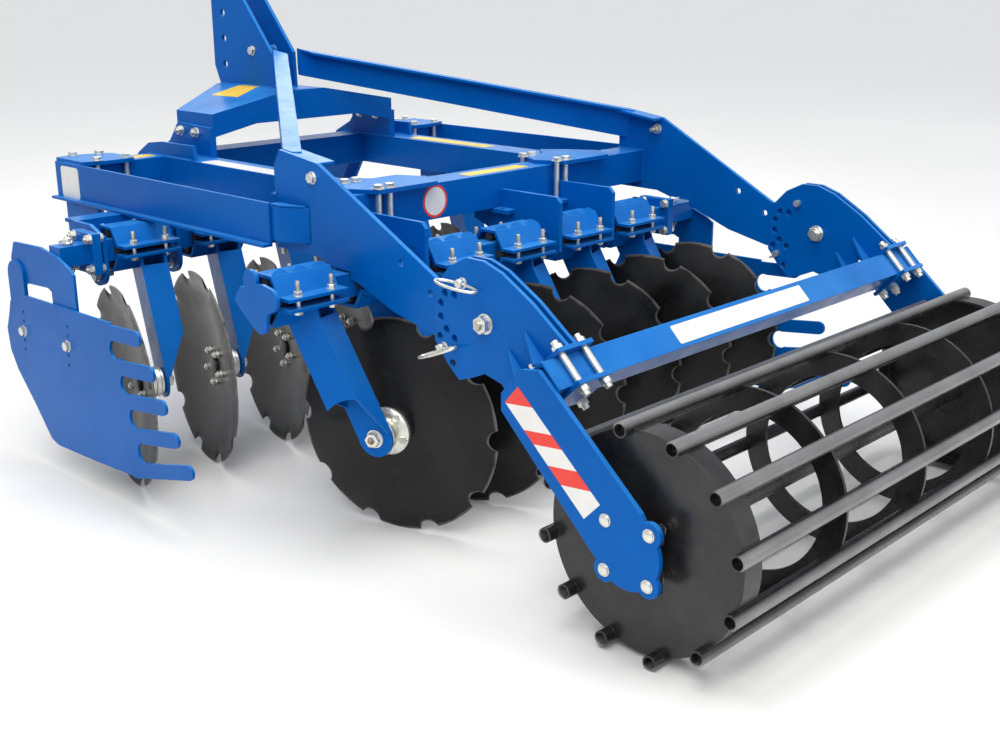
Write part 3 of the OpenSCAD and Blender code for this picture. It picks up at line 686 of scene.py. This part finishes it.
def fastener_tree():
    """Puts a bolt on every point, its head out along the point's axis, turned at random."""
    tree, given, end = node_tree("fasteners", [
        ("Bolt", "NodeSocketObject"), ("Spin", "NodeSocketFloat"), ("Seed", "NodeSocketInt"),
        ("Finish", "NodeSocketMaterial"), ("Bare steel", "NodeSocketMaterial")])
    bolt = add_node(tree, "GeometryNodeObjectInfo", {"Object": given["Bolt"]})
    axis = named_attribute(tree, "axis", "FLOAT_VECTOR")
    aimed = add_node(tree, "FunctionNodeAlignRotationToVector", {"Vector": axis}, axis="Z")
    spin = add_node(tree, "FunctionNodeRandomValue", {3: given["Spin"], "Seed": given["Seed"]},
                    data_type="FLOAT")
    angle = add_node(tree, "ShaderNodeCombineXYZ", {2: spin.outputs[1]}).outputs[0]
    turn = add_node(tree, "FunctionNodeEulerToRotation", {0: angle}).outputs[0]
    turned_on = add_node(tree, "FunctionNodeRotateRotation", {0: aimed.outputs[0], 1: turn},
                         rotation_space="LOCAL").outputs[0]
    bolts = add_node(tree, "GeometryNodeInstanceOnPoints", {
        "Points": given["Places"], "Instance": bolt.outputs["Geometry"],
        "Rotation": turned_on}).outputs[0]
    real = add_node(tree, "GeometryNodeRealizeInstances", {0: bolts}).outputs[0]
    coated = add_node(tree, "GeometryNodeSetMaterial", {
        "Geometry": real, "Material": given["Finish"]}).outputs[0]
    is_bare = named_attribute(tree, "bare", "BOOLEAN")
    ends = add_node(tree, "GeometryNodeSetMaterial", {
        "Geometry": coated, "Selection": is_bare, "Material": given["Bare steel"]}).outputs[0]
    tree.links.new(ends, end.inputs[0])
    return tree


def weld_tree():
    """Follows each path with a rippled bead of weld."""
    tree, given, end = node_tree("weld_beads", [
        ("Width", "NodeSocketFloat"), ("Ripple length", "NodeSocketFloat"),
        ("Finish", "NodeSocketMaterial")])
    paths = add_node(tree, "GeometryNodeMeshToCurve", {0: given["Places"]}).outputs[0]
    steps = add_node(tree, "GeometryNodeResampleCurve", {
        "Curve": paths, "Length": given["Ripple length"]}, mode="LENGTH").outputs[0]
    index = add_node(tree, "GeometryNodeInputIndex").outputs[0]
    beat = math_node(tree, "MODULO", index, 3.0)
    swell = ramp(tree, beat, 0.0, 2.0, 0.78, 1.12)
    swollen = add_node(tree, "GeometryNodeSetCurveRadius", {
        "Curve": steps, "Radius": swell}).outputs[0]
    ring = add_node(tree, "GeometryNodeCurvePrimitiveCircle", {
        "Resolution": 7, "Radius": math_node(tree, "MULTIPLY", given["Width"], 0.5)}).outputs[0]
    bead = add_node(tree, "GeometryNodeCurveToMesh", {
        "Curve": swollen, "Profile Curve": ring, "Fill Caps": True}).outputs[0]
    real = add_node(tree, "GeometryNodeRealizeInstances", {0: bead}).outputs[0]
    painted = add_node(tree, "GeometryNodeSetMaterial", {
        "Geometry": real, "Material": given["Finish"]}).outputs[0]
    tree.links.new(painted, end.inputs[0])
    return tree


def grown(name, base, tree, values):
    """The plain mesh that a tree makes of a base mesh."""
    holder = bpy.data.objects.new(name + "_base", base)
    bpy.context.scene.collection.objects.link(holder)
    modifier = holder.modifiers.new(name, "NODES")
    modifier.node_group = tree
    for item in tree.interface.items_tree:
        if item.in_out == "INPUT" and item.name in values:
            modifier[item.identifier] = values[item.name]
    graph = bpy.context.evaluated_depsgraph_get()
    mesh = bpy.data.meshes.new_from_object(holder.evaluated_get(graph))
    mesh.name = name
    holder.modifiers.remove(modifier)
    bpy.data.objects.remove(holder)
    return mesh


FASTENERS = fastener_tree()
WELDS = weld_tree()


def fasteners(name, body, size, grip, places, head=True, thread=1.2):
    """Bolts of one size on a body: each place is a point on the head's side and an outward axis."""
    shape = bmesh.new()
    bolt_profile(shape, size, grip, head, thread)
    bolt = bpy.data.objects.new(name + "_bolt", mesh_of(shape, name + "_bolt"))
    bpy.context.scene.collection.objects.link(bolt)
    base = bpy.data.meshes.new(name + "_places")
    base.from_pydata([place(*point) for point, axis in places], [], [])
    axes = base.attributes.new("axis", "FLOAT_VECTOR", "POINT")
    for item, (point, axis) in zip(axes.data, places):
        item.vector = axis
    mesh = grown(name, base, FASTENERS, {"Bolt": bolt, "Spin": RANDOM_TURN, "Seed": len(places),
                                         "Finish": ZINC, "Bare steel": THREAD})
    bpy.data.objects.remove(bolt)
    piece(name, mesh, body, [])


def welds(name, body, paths, width):
    """Weld beads along paths of points."""
    points = []
    edges = []
    for path in paths:
        first = len(points)
        points += [place(*point) for point in path]
        edges += [(first + k, first + k + 1) for k in range(len(path) - 1)]
    base = bpy.data.meshes.new(name + "_paths")
    base.from_pydata(points, edges, [])
    mesh = grown(name, base, WELDS, {"Width": width * MM, "Ripple length": BEAD_RIPPLE * MM,
                                     "Finish": BLUE})
    piece(name, mesh, body, [], smooth_angle=70)


def clamp_fasteners():
    """Four bolts down through the halves of each arm's clamp."""
    for row, values in ROWS.items():
        places = []
        for index in range(DISC_COUNT):
            y = values["first_y"] - index * DISC_PITCH
            for dx in (-CLAMP_BOLT_X, CLAMP_BOLT_X):
                for dy in (-CLAMP_BOLT_Y, CLAMP_BOLT_Y):
                    places.append(((values["x"] + dx, y + dy, BEAM_Z - FLANGE_OUT), DOWN))
        fasteners(row + "_clamp_bolts", "main_frame", 12, 2 * FLANGE_OUT, places, thread=2.0)


def axle_nuts():
    """The nut on each stub axle, outside the arm's foot."""
    for row in ROWS:
        shape = bmesh.new()
        for index in range(DISC_COUNT):
            axle = disc_matrix(row, index)
            foot = Matrix.Translation(axle @ Vector((0, 0, FOOT_Y)))
            outward = (axle.to_3x3() @ Vector(DOWN)).normalized()
            aim = outward.to_track_quat("Z", "Y").to_matrix().to_4x4()
            nut = foot @ aim @ Matrix.Scale(MM, 4)
            turned(shape, cylinder(23, 0.3, 3), 28, nut)
            hex_prism(shape, nut, 19.5, 2.9, 20)
            turned(shape, [(0, 19), (9, 19), (9, 22.5), (8, 24), (0, 24)], 16, nut, 1)
        name = row + "_axle_nuts"
        piece(name, mesh_of(shape, name), "main_frame", [ZINC, STEEL])


def tube_fasteners():
    """The long bolts through the frame's cross tubes."""
    top = FRAME_TOP + STRAP_T
    grip = TUBE_W + 2 * STRAP_T
    rear = [((x, y, top), UP) for y in (464, 424, -286, -246, 677) for x in (-292, -154)]
    fasteners("rear_tube_bolts", "main_frame", 16, grip, rear)
    front = [((x, side * y, top), UP)
             for x, y in ((880, 695), (852, 621), (726, 602), (726, 700)) for side in (1, -1)]
    fasteners("front_tube_bolts", "main_frame", 16, grip, front)


def frame_fasteners():
    """Bolts of the brackets, side plates, hangers, shields and mast."""
    bracket = [((x, side * BRACKET_FACE_Y, 886), (0, -side, 0))
               for side in (1, -1) for x in (750, 665)]
    fasteners("bracket_bolts", "main_frame", 16, 20.5, bracket, thread=0.35)

    plates = [((-328, side * 707, 885), (0, side, 0)) for side in (1, -1)]
    fasteners("side_plate_bolts", "main_frame", 16, 12, plates)

    hangers = [((FRONT_BEAM_X, y + side * (half + 6), HANGER_BOLT_Z), (0, side, 0))
               for y, half in ((800, 117), (-690, 80)) for side in (-1, 1)]
    fasteners("front_hanger_bolts", "main_frame", 16, 12, hangers)

    beam_ends = ((FRONT_BEAM_X, 935, RIGHT), (REAR_BEAM_X, -560, LEFT))
    ends = [((x + dx, y, BEAM_Z + dz), axis)
            for dx in (-42, 42) for dz in (-42, 42) for x, y, axis in beam_ends]
    fasteners("bracket_end_bolts", "main_frame", 14, 24.5, ends, thread=0.4)

    rows_apart = FRONT_BEAM_X - REAR_BEAM_X
    faces = ((0, SHIELD_LEFT_Y + SHIELD_T, LEFT), (rows_apart, -SHIELD_RIGHT_Y - SHIELD_T, RIGHT))
    shield = [((x - back, y, z), axis)
              for x, z in ((572, 393), (322, 398)) for back, y, axis in faces]
    fasteners("shield_bolts", "main_frame", 16, 16.3, shield, thread=0.2)

    tie = [((807, side * MAST_FACE_Y, 1116), (0, side, 0)) for side in (1, -1)]
    fasteners("mast_tie_nuts", "main_frame", 16, 12, tie)


def roller_frame_fasteners():
    """Nuts of the two pivots and bolts of the bearings."""
    pivots = [((PIVOT_X, side * 684, PIVOT_Z), (0, -side, 0)) for side in (-1, 1)]
    fasteners("pivot_nuts", "roller_frame", 24, 34, pivots, thread=0.3)
    bearings = [((ROLLER_X + dx, side * END_ARM_Y, ROLLER_Z + dz), (0, side, 0))
                for dx in (-BEARING_BOLT, BEARING_BOLT) for dz in (-BEARING_BOLT, BEARING_BOLT)
                for side in (-1, 1)]
    fasteners("bearing_bolts", "roller_frame", 14, 26, bearings, head=False, thread=0.6)


# Plates, pins and weld beads

def blue_plate(name, outline, axis, low, high, bevel=1.6):
    """A plate on the main frame: an outline across the Y or Z axis, thick from low to high."""
    faces = []
    for level in (low, high):
        points = [(a, level, b) if axis == "Y" else (a, b, level) for a, b in outline]
        faces.append([place(*point) for point in points])
    shape = bmesh.new()
    prism(shape, *faces)
    bmesh.ops.bevel(shape, geom=list(shape.edges), offset=bevel * MM, segments=3, affect="EDGES")
    piece(name, mesh_of(shape, name), "main_frame", [BLUE])


def frame_plates():
    """The strap over the rear tube by the side plate, the tube's ends and the front gussets."""
    strap = [(-310, 659), (-136, 659), (-136, 694), (-310, 694)]
    blue_plate("tube_strap_left", strap, "Z", FRAME_TOP, FRAME_TOP + STRAP_T)
    gusset = [(847, 693), (661, 693), (655, 664), (612, 664), (606, 693), (491, 693),
              (491, 612), (620, 600), (847, 600)]
    for side, label in SIDES:
        inner = side * 706.8
        outer = side * 746.5
        end = [(-190, inner), (-190, outer), (-244, outer), (-300, side * 718), (-314, inner)]
        blue_plate("tube_end_" + label, end, "Z", FRAME_TOP - 98, FRAME_TOP - 2, bevel=4)
        low, high = sorted((side * (RAIL_Y - STRAP_T), side * RAIL_Y))
        blue_plate("front_gusset_" + label, gusset, "Y", low, high)


def shield_pins():
    """Upright pins with small rings through the shields' arms."""
    pin = [(0, -46), (7, -46), (8, -44), (8, 30), (14, 30), (14, 34), (9, 36), (9, 46), (7, 48),
           (0, 48)]
    for label, x, y in (("left", FRONT_BEAM_X, 1004), ("right", REAR_BEAM_X, -655)):
        shape = bmesh.new()
        base = Matrix.Translation(place(x, y, BEAM_Z)) @ Matrix.Scale(MM, 4)
        turned(shape, pin, 20, base)
        for z, lean in ((42, 20), (-41, 62)):
            ring = Matrix.Translation((-9, 8, z)) @ Matrix.Rotation(math.radians(lean), 4, "Y")
            ring_wire(shape, base @ ring, 21, 17, 2.4)
        name = "shield_pin_" + label
        piece(name, mesh_of(shape, name), "main_frame", [ZINC], smooth_angle=50)


def pin_rings():
    """The heads, cross pins and pull rings of the depth pins."""
    head_profile = [(0, 0.4), (13, 0.4), (13, 4), (11, 5), (11, 16), (9, 19), (0, 19)]
    for side, label in SIDES:
        shape = bmesh.new()
        for x, z, lean, dip, drop in (UPPER_PIN, LOWER_PIN):
            y = side * PIN_HEAD_Y
            out = Matrix.Rotation(math.radians(-90 * side), 4, "X")
            head = Matrix.Translation(place(x, y, z)) @ out @ Matrix.Scale(MM, 4)
            turned(shape, head_profile, 24, head)
            cross = head @ Matrix.Translation((0, 0, 11)) @ Matrix.Rotation(math.pi / 2, 4, "Y")
            turned(shape, cylinder(3.4, -17, 17), 12, cross)
            centre = Matrix.Translation(place(x, y + side * PULL_RING_OUT, z + drop))
            swing = Matrix.Rotation(math.radians(dip), 4, "Y")
            tilt = Matrix.Rotation(math.radians(side * lean), 4, "X")
            ring_wire(shape, centre @ swing @ tilt @ Matrix.Scale(MM, 4), PULL_RING_REACH,
                      PULL_RING_WIDTH, PULL_RING_WIRE)
        name = "pin_rings_" + label
        piece(name, mesh_of(shape, name), "roller_frame", [ZINC], smooth_angle=50)


def sector_fins():
    """Small gussets between each sector's plates and its clamp plate, on both faces."""
    outline = [(17, 56), (50, 56), (50, 63), (22, 134), (17, 134)]
    half = 4
    for side, label in SIDES:
        shape = bmesh.new()
        turn = Matrix.Translation(place(CROSS_X, side * SIDE_Y, CROSS_Z))
        turn = turn @ Matrix.Rotation(math.radians(45), 4, "Y") @ Matrix.Scale(MM, 4)
        for outward in (side, -side):
            for x in (28, 98):
                faces = [[turn @ Vector((level, outward * y, z)) for y, z in outline]
                         for level in (x - half, x + half)]
                prism(shape, *faces)
        name = "sector_fins_" + label
        piece(name, mesh_of(shape, name), "roller_frame", [BLUE])


def both_sides(paths):
    """Each path on the left, and its mirror on the right."""
    return paths + [[(x, -y, z) for x, y, z in path] for path in paths]


def square_seam(x, y, z, half):
    """A seam round the end of a square tube that lies along Y."""
    corners = [(x - half, z - half), (x + half, z - half), (x + half, z + half), (x - half, z + half)]
    return [(cx, y, cz) for cx, cz in corners + corners[:1]]


def frame_welds():
    """Seams of the tubes, bridge, brackets and side plates."""
    half = TUBE_W / 2
    top = FRAME_TOP
    bottom = FRAME_TOP - TUBE_W
    paths = []
    for x in (REAR_TUBE_X + half, FRONT_TUBE_X - half):
        for y in (LONG_Y - half, LONG_Y + half):
            paths.append([(x, y, top), (x, y, bottom)])
        paths.append([(x, LONG_Y - half, top), (x, LONG_Y + half, top)])
    for y in (MAST_FACE_Y - 12, MAST_FACE_Y):
        paths.append([(702, y, BRIDGE_TOP), (1001, y, BRIDGE_TOP)])
    for y in (370.5, 382.5, 442.5, 454.5):
        paths.append([(592, y, top), (838, y, top)])
        paths.append([(840, y, top - 2), (840, y, bottom + 2)])
    paths.append([(592, BRACKET_FACE_Y, top), (782, BRACKET_FACE_Y, top)])
    paths.append([(-199, 695, 938), (-199, 695, 852)])
    paths.append(square_seam(REAR_TUBE_X, 694.5, top - half, half))
    paths.append([(-206, 745, top - 2), (-244, 745, top - 2), (-302, 714, top - 2)])
    paths.append(square_seam(FRONT_TUBE_X, 747.5, top - half, half))
    paths.append([(692, MAST_FACE_Y + 1, 1124), (692, MAST_FACE_Y + 1, 1056)])
    welds("frame_welds", "main_frame", both_sides(paths), FRAME_BEAD)


def beam_welds():
    """Seams of the disc beams' ends and of the rear hangers."""
    paths = [square_seam(REAR_BEAM_X, 962.5, BEAM_Z, BEAM_HALF),
             square_seam(FRONT_BEAM_X, -779.5, BEAM_Z, BEAM_HALF)]
    for y in (492, -258, -24):
        paths.append([(-385, y, 585), (-475, y, 585)])
        paths.append([(-272, y, 700), (-300, y, 700)])
    welds("beam_welds", "main_frame", paths, THIN_BEAD)


def cross_tube_welds():
    """The seam round each end of the roller's cross tube, which stands on its corner."""
    y = 791.5
    corner = 49.5
    ring = [(CROSS_X, y, CROSS_Z - corner), (CROSS_X + corner, y, CROSS_Z),
            (CROSS_X, y, CROSS_Z + corner), (CROSS_X - corner, y, CROSS_Z),
            (CROSS_X, y, CROSS_Z - corner)]
    welds("cross_tube_welds", "roller_frame", both_sides([ring]), THIN_BEAD)


# Signs and strips, all blank

def clipped(polygon, a, b, c):
    """The part of a flat polygon where a * s + b * t <= c."""
    kept = []
    for k, (s, t) in enumerate(polygon):
        s2, t2 = polygon[(k + 1) % len(polygon)]
        here = c - a * s - b * t
        there = c - a * s2 - b * t2
        if here >= 0:
            kept.append((s, t))
        if (here > 0 > there) or (here < 0 < there):
            share = here / (here - there)
            kept.append((s + share * (s2 - s), t + share * (t2 - t)))
    return kept


def film_over(shape, points, outward, material_index=0):
    """A film over a flat polygon of scene points, thick along outward."""
    lift = Vector(outward).normalized() * FILM_T * MM
    prism(shape, points, [point + lift for point in points], material_index)


def rounded_label(name, body, corners, outward, material, corner=0.12):
    """A blank label over four corners, given in millimetres, its own corners rounded."""
    a, b, c, d = [place(*point) for point in corners]
    wide = (b - a).length
    tall = (d - a).length
    radius = corner * min(wide, tall)
    steps = 4
    points = []
    for cx, cy, start in ((1, 0, -90), (1, 1, 0), (0, 1, 90), (0, 0, 180)):
        for k in range(steps + 1):
            angle = math.radians(start + 90 * k / steps)
            u = ((wide - radius if cx else radius) + radius * math.cos(angle)) / wide
            v = ((tall - radius if cy else radius) + radius * math.sin(angle)) / tall
            points.append(a * (1 - u) * (1 - v) + b * u * (1 - v) + c * u * v + d * (1 - u) * v)
    shape = bmesh.new()
    film_over(shape, points, outward)
    piece(name, mesh_of(shape, name), body, [material])


def top_label(name, x_range, y_range, material, corner):
    """A label on top of the frame's tubes."""
    (x0, x1), (y0, y1) = x_range, y_range
    z = FRAME_TOP
    rounded_label(name, "main_frame", [(x0, y0, z), (x1, y0, z), (x1, y1, z), (x0, y1, z)], UP,
                  material, corner)


def warning_strips():
    """Red and white strips along the end arms."""
    left_edge = Vector((-1111, 543)), Vector((-1338, 343))
    right_edge = Vector((-1074, 501)), Vector((-1297, 300))
    length = (left_edge[1] - left_edge[0]).length
    slant = 52
    starts = [-slant, 3, 74, 112, 167, 217, length + slant]
    for side, label in SIDES:
        shape = bmesh.new()
        for k, (low, high) in enumerate(zip(starts, starts[1:])):
            band = clipped([(0, 0), (length, 0), (length, 1), (0, 1)], 1, -slant, high)
            band = clipped(band, -1, slant, -low)
            points = []
            for s, t in band:
                share = s / length
                edge_a = right_edge[0].lerp(right_edge[1], share)
                edge_b = left_edge[0].lerp(left_edge[1], share)
                at = edge_a.lerp(edge_b, t)
                points.append(place(at.x, side * END_ARM_Y, at.y))
            film_over(shape, points, (0, side, 0), k % 2)
        name = "warning_strip_" + label
        piece(name, mesh_of(shape, name), "roller_frame", [RED, WHITE])


def round_sign():
    """A round sign on the rear tube: white, with a red rim, and left blank."""
    rim = 46
    inside = 39
    face = Matrix.Translation(place(REAR_TUBE_X - TUBE_W / 2, 241, FRAME_TOP - TUBE_W / 2))
    face = face @ Matrix.Rotation(math.radians(-90), 4, "Y") @ Matrix.Scale(MM, 4)
    shape = bmesh.new()
    turned(shape, [(0, 0.1), (rim, 0.1), (rim, 0.9), (inside, 0.9), (inside, 1.0)], 64, face, 1)
    turned(shape, cylinder(inside, 0.4, 1.0), 64, face)
    piece("round_sign", mesh_of(shape, "round_sign"), "main_frame", [WHITE, RED])


def rail_plates():
    """The two white plates at the front of the side rails."""
    for side, name in ((1, "rail_plate"), (-1, "rail_plate_right")):
        y = side * (RAIL_Y + 6)
        corners = [(848, y, 708), (744, y, 708), (744, y, 804), (848, y, 804)]
        rounded_label(name, "main_frame", corners, (0, side, 0), WHITE)


def tube_labels():
    """Labels and yellow strips on top of the frame's tubes."""
    strip_corner = 0.08
    top_label("long_tube_label", (85, 545), (LONG_Y - 14, LONG_Y + 46), WHITE, 0.2)
    top_label("front_tube_strip_left", (768, 816), (470, 566), YELLOW, strip_corner)
    top_label("long_tube_strip", (150, 520), (-LONG_Y - 25, -LONG_Y + 27), YELLOW, strip_corner)
    top_label("front_tube_strip_right", (768, 816), (-470, -566), YELLOW, strip_corner)
    top_label("rear_tube_strip", (-250, -202), (-165, 82), YELLOW, strip_corner)


def bridge_labels():
    """A yellow label that runs from the bridge's middle down its left slope."""
    slope_y = 76
    fall = 54 / 294
    corner = 0.02

    def on_slope(x, y):
        return (x, y, BRIDGE_TOP - (y - slope_y) * fall)

    slope = [on_slope(846, 198), on_slope(707, 190), on_slope(760, 77), on_slope(863, 77)]
    rounded_label("bridge_label", "main_frame", slope, (0, 0.18, 1), YELLOW, corner)
    flat = [(x, y, BRIDGE_TOP) for x, y in ((863, 75.5), (760, 75.5), (772, 54), (866, 54))]
    rounded_label("bridge_label_end", "main_frame", flat, UP, YELLOW, corner)


def cross_tube_label():
    """A white label on the rear face of the roller's cross tube."""
    reach = CROSS_HALF * math.sqrt(2)

    def on_face(y, share):
        return (CROSS_X - reach * share, y, CROSS_Z + reach * (1 - share))

    corners = [on_face(-190, 0.16), on_face(365, 0.16), on_face(365, 0.86), on_face(-190, 0.86)]
    rounded_label("cross_tube_label", "roller_frame", corners, (-1, 0, 1), WHITE, 0.1)


clamp_fasteners()
axle_nuts()
tube_fasteners()
frame_fasteners()
roller_frame_fasteners()
frame_plates()
shield_pins()
pin_rings()
sector_fins()
frame_welds()
beam_welds()
cross_tube_welds()
warning_strips()
round_sign()
rail_plates()
tube_labels()
bridge_labels()
cross_tube_label()


# Floor, light and camera

def studio_floor():
    """A wide pale floor that grows lighter, to the camera, away from the machine."""
    reach = 150
    light_grey = (0.80, 0.80, 0.795)
    lighter_grey = (0.83, 0.83, 0.825)
    mesh = bpy.data.meshes.new("floor")
    mesh.from_pydata([(-reach, -reach, 0), (reach, -reach, 0), (reach, reach, 0),
                      (-reach, reach, 0)], [], [(0, 1, 2, 3)])
    floor = bpy.data.objects.new("floor", mesh)
    bpy.context.scene.collection.objects.link(floor)
    material, tree, shader = new_material("studio_floor")
    at = add_node(tree, "ShaderNodeNewGeometry").outputs["Position"]
    away = vector_math(tree, "LENGTH", at)["Value"]
    seen = add_node(tree, "ShaderNodeLightPath").outputs["Is Camera Ray"]
    glow = math_node(tree, "MULTIPLY", ramp(tree, away, 2.0, 9.0, 0.0, 0.34), seen)
    clouds = patches(tree, 0.6, 0.3, 0.7, detail=3.0)
    set_inputs(tree, shader, {
        "Base Color": blend_colours(tree, clouds, light_grey, lighter_grey),
        "Roughness": 0.9,
        "Specular IOR Level": 0.15,
        "Emission Color": (1.0, 1.0, 1.0, 1),
        "Emission Strength": glow})
    mesh.materials.append(material)


def studio_sky():
    """A pale sky: brightest to the camera, dimmer in mirrors and dimmest as a light."""
    world = bpy.data.worlds.new("studio")
    bpy.context.scene.world = world
    world.use_nodes = True
    tree = world.node_tree
    ray = add_node(tree, "ShaderNodeLightPath").outputs
    mirrored = math_node(tree, "MULTIPLY", ray["Is Glossy Ray"], 0.4)
    direct = math_node(tree, "MAXIMUM", ray["Is Camera Ray"], mirrored)
    set_inputs(tree, tree.nodes["Background"], {
        "Color": (0.95, 0.97, 1.0, 1),
        "Strength": ramp(tree, direct, 0.0, 1.0, 0.50, 0.95)})


def studio_lamps():
    """Square lamps turned to the machine's middle: place, size in metres and power in watts."""
    middle = Vector((0, 0, 0.6))
    for name, at, size, power in (("key", (-3.0, 4.6, 5.2), 3.6, 210),
                                  ("sky", (-0.5, 0.3, 6.5), 5.0, 330),
                                  ("fill", (-5.5, -2.0, 2.6), 3.0, 60),
                                  ("back", (4.5, -3.5, 4.5), 3.0, 100)):
        lamp = bpy.data.lights.new(name, "AREA")
        lamp.size = size
        lamp.energy = power
        lamp.color = (1.0, 0.985, 0.96)
        made = bpy.data.objects.new(name, lamp)
        made.location = at
        made.rotation_euler = (middle - Vector(at)).to_track_quat("-Z", "Y").to_euler()
        bpy.context.scene.collection.objects.link(made)


def photo_camera():
    data = bpy.data.cameras.new("photo")
    data.sensor_width = 36
    data.lens = CAMERA_LENS
    data.clip_start = 0.05
    data.clip_end = 400
    camera = bpy.data.objects.new("photo", data)
    camera.location = CAMERA_AT
    look = (Matrix.Rotation(math.radians(CAMERA_YAW), 4, "Z")
            @ Matrix.Rotation(math.radians(CAMERA_DOWN), 4, "Y")
            @ Matrix.Rotation(math.radians(CAMERA_ROLL), 4, "X"))
    lens_axes = Matrix(((0, 0, -1, 0), (-1, 0, 0, 0), (0, 1, 0, 0), (0, 0, 0, 1)))
    camera.rotation_euler = (look @ lens_axes).to_euler()
    bpy.context.scene.collection.objects.link(camera)
    bpy.context.scene.camera = camera


studio_floor()
studio_sky()
studio_lamps()
photo_camera()
bpy.context.scene.view_settings.view_transform = "Standard"
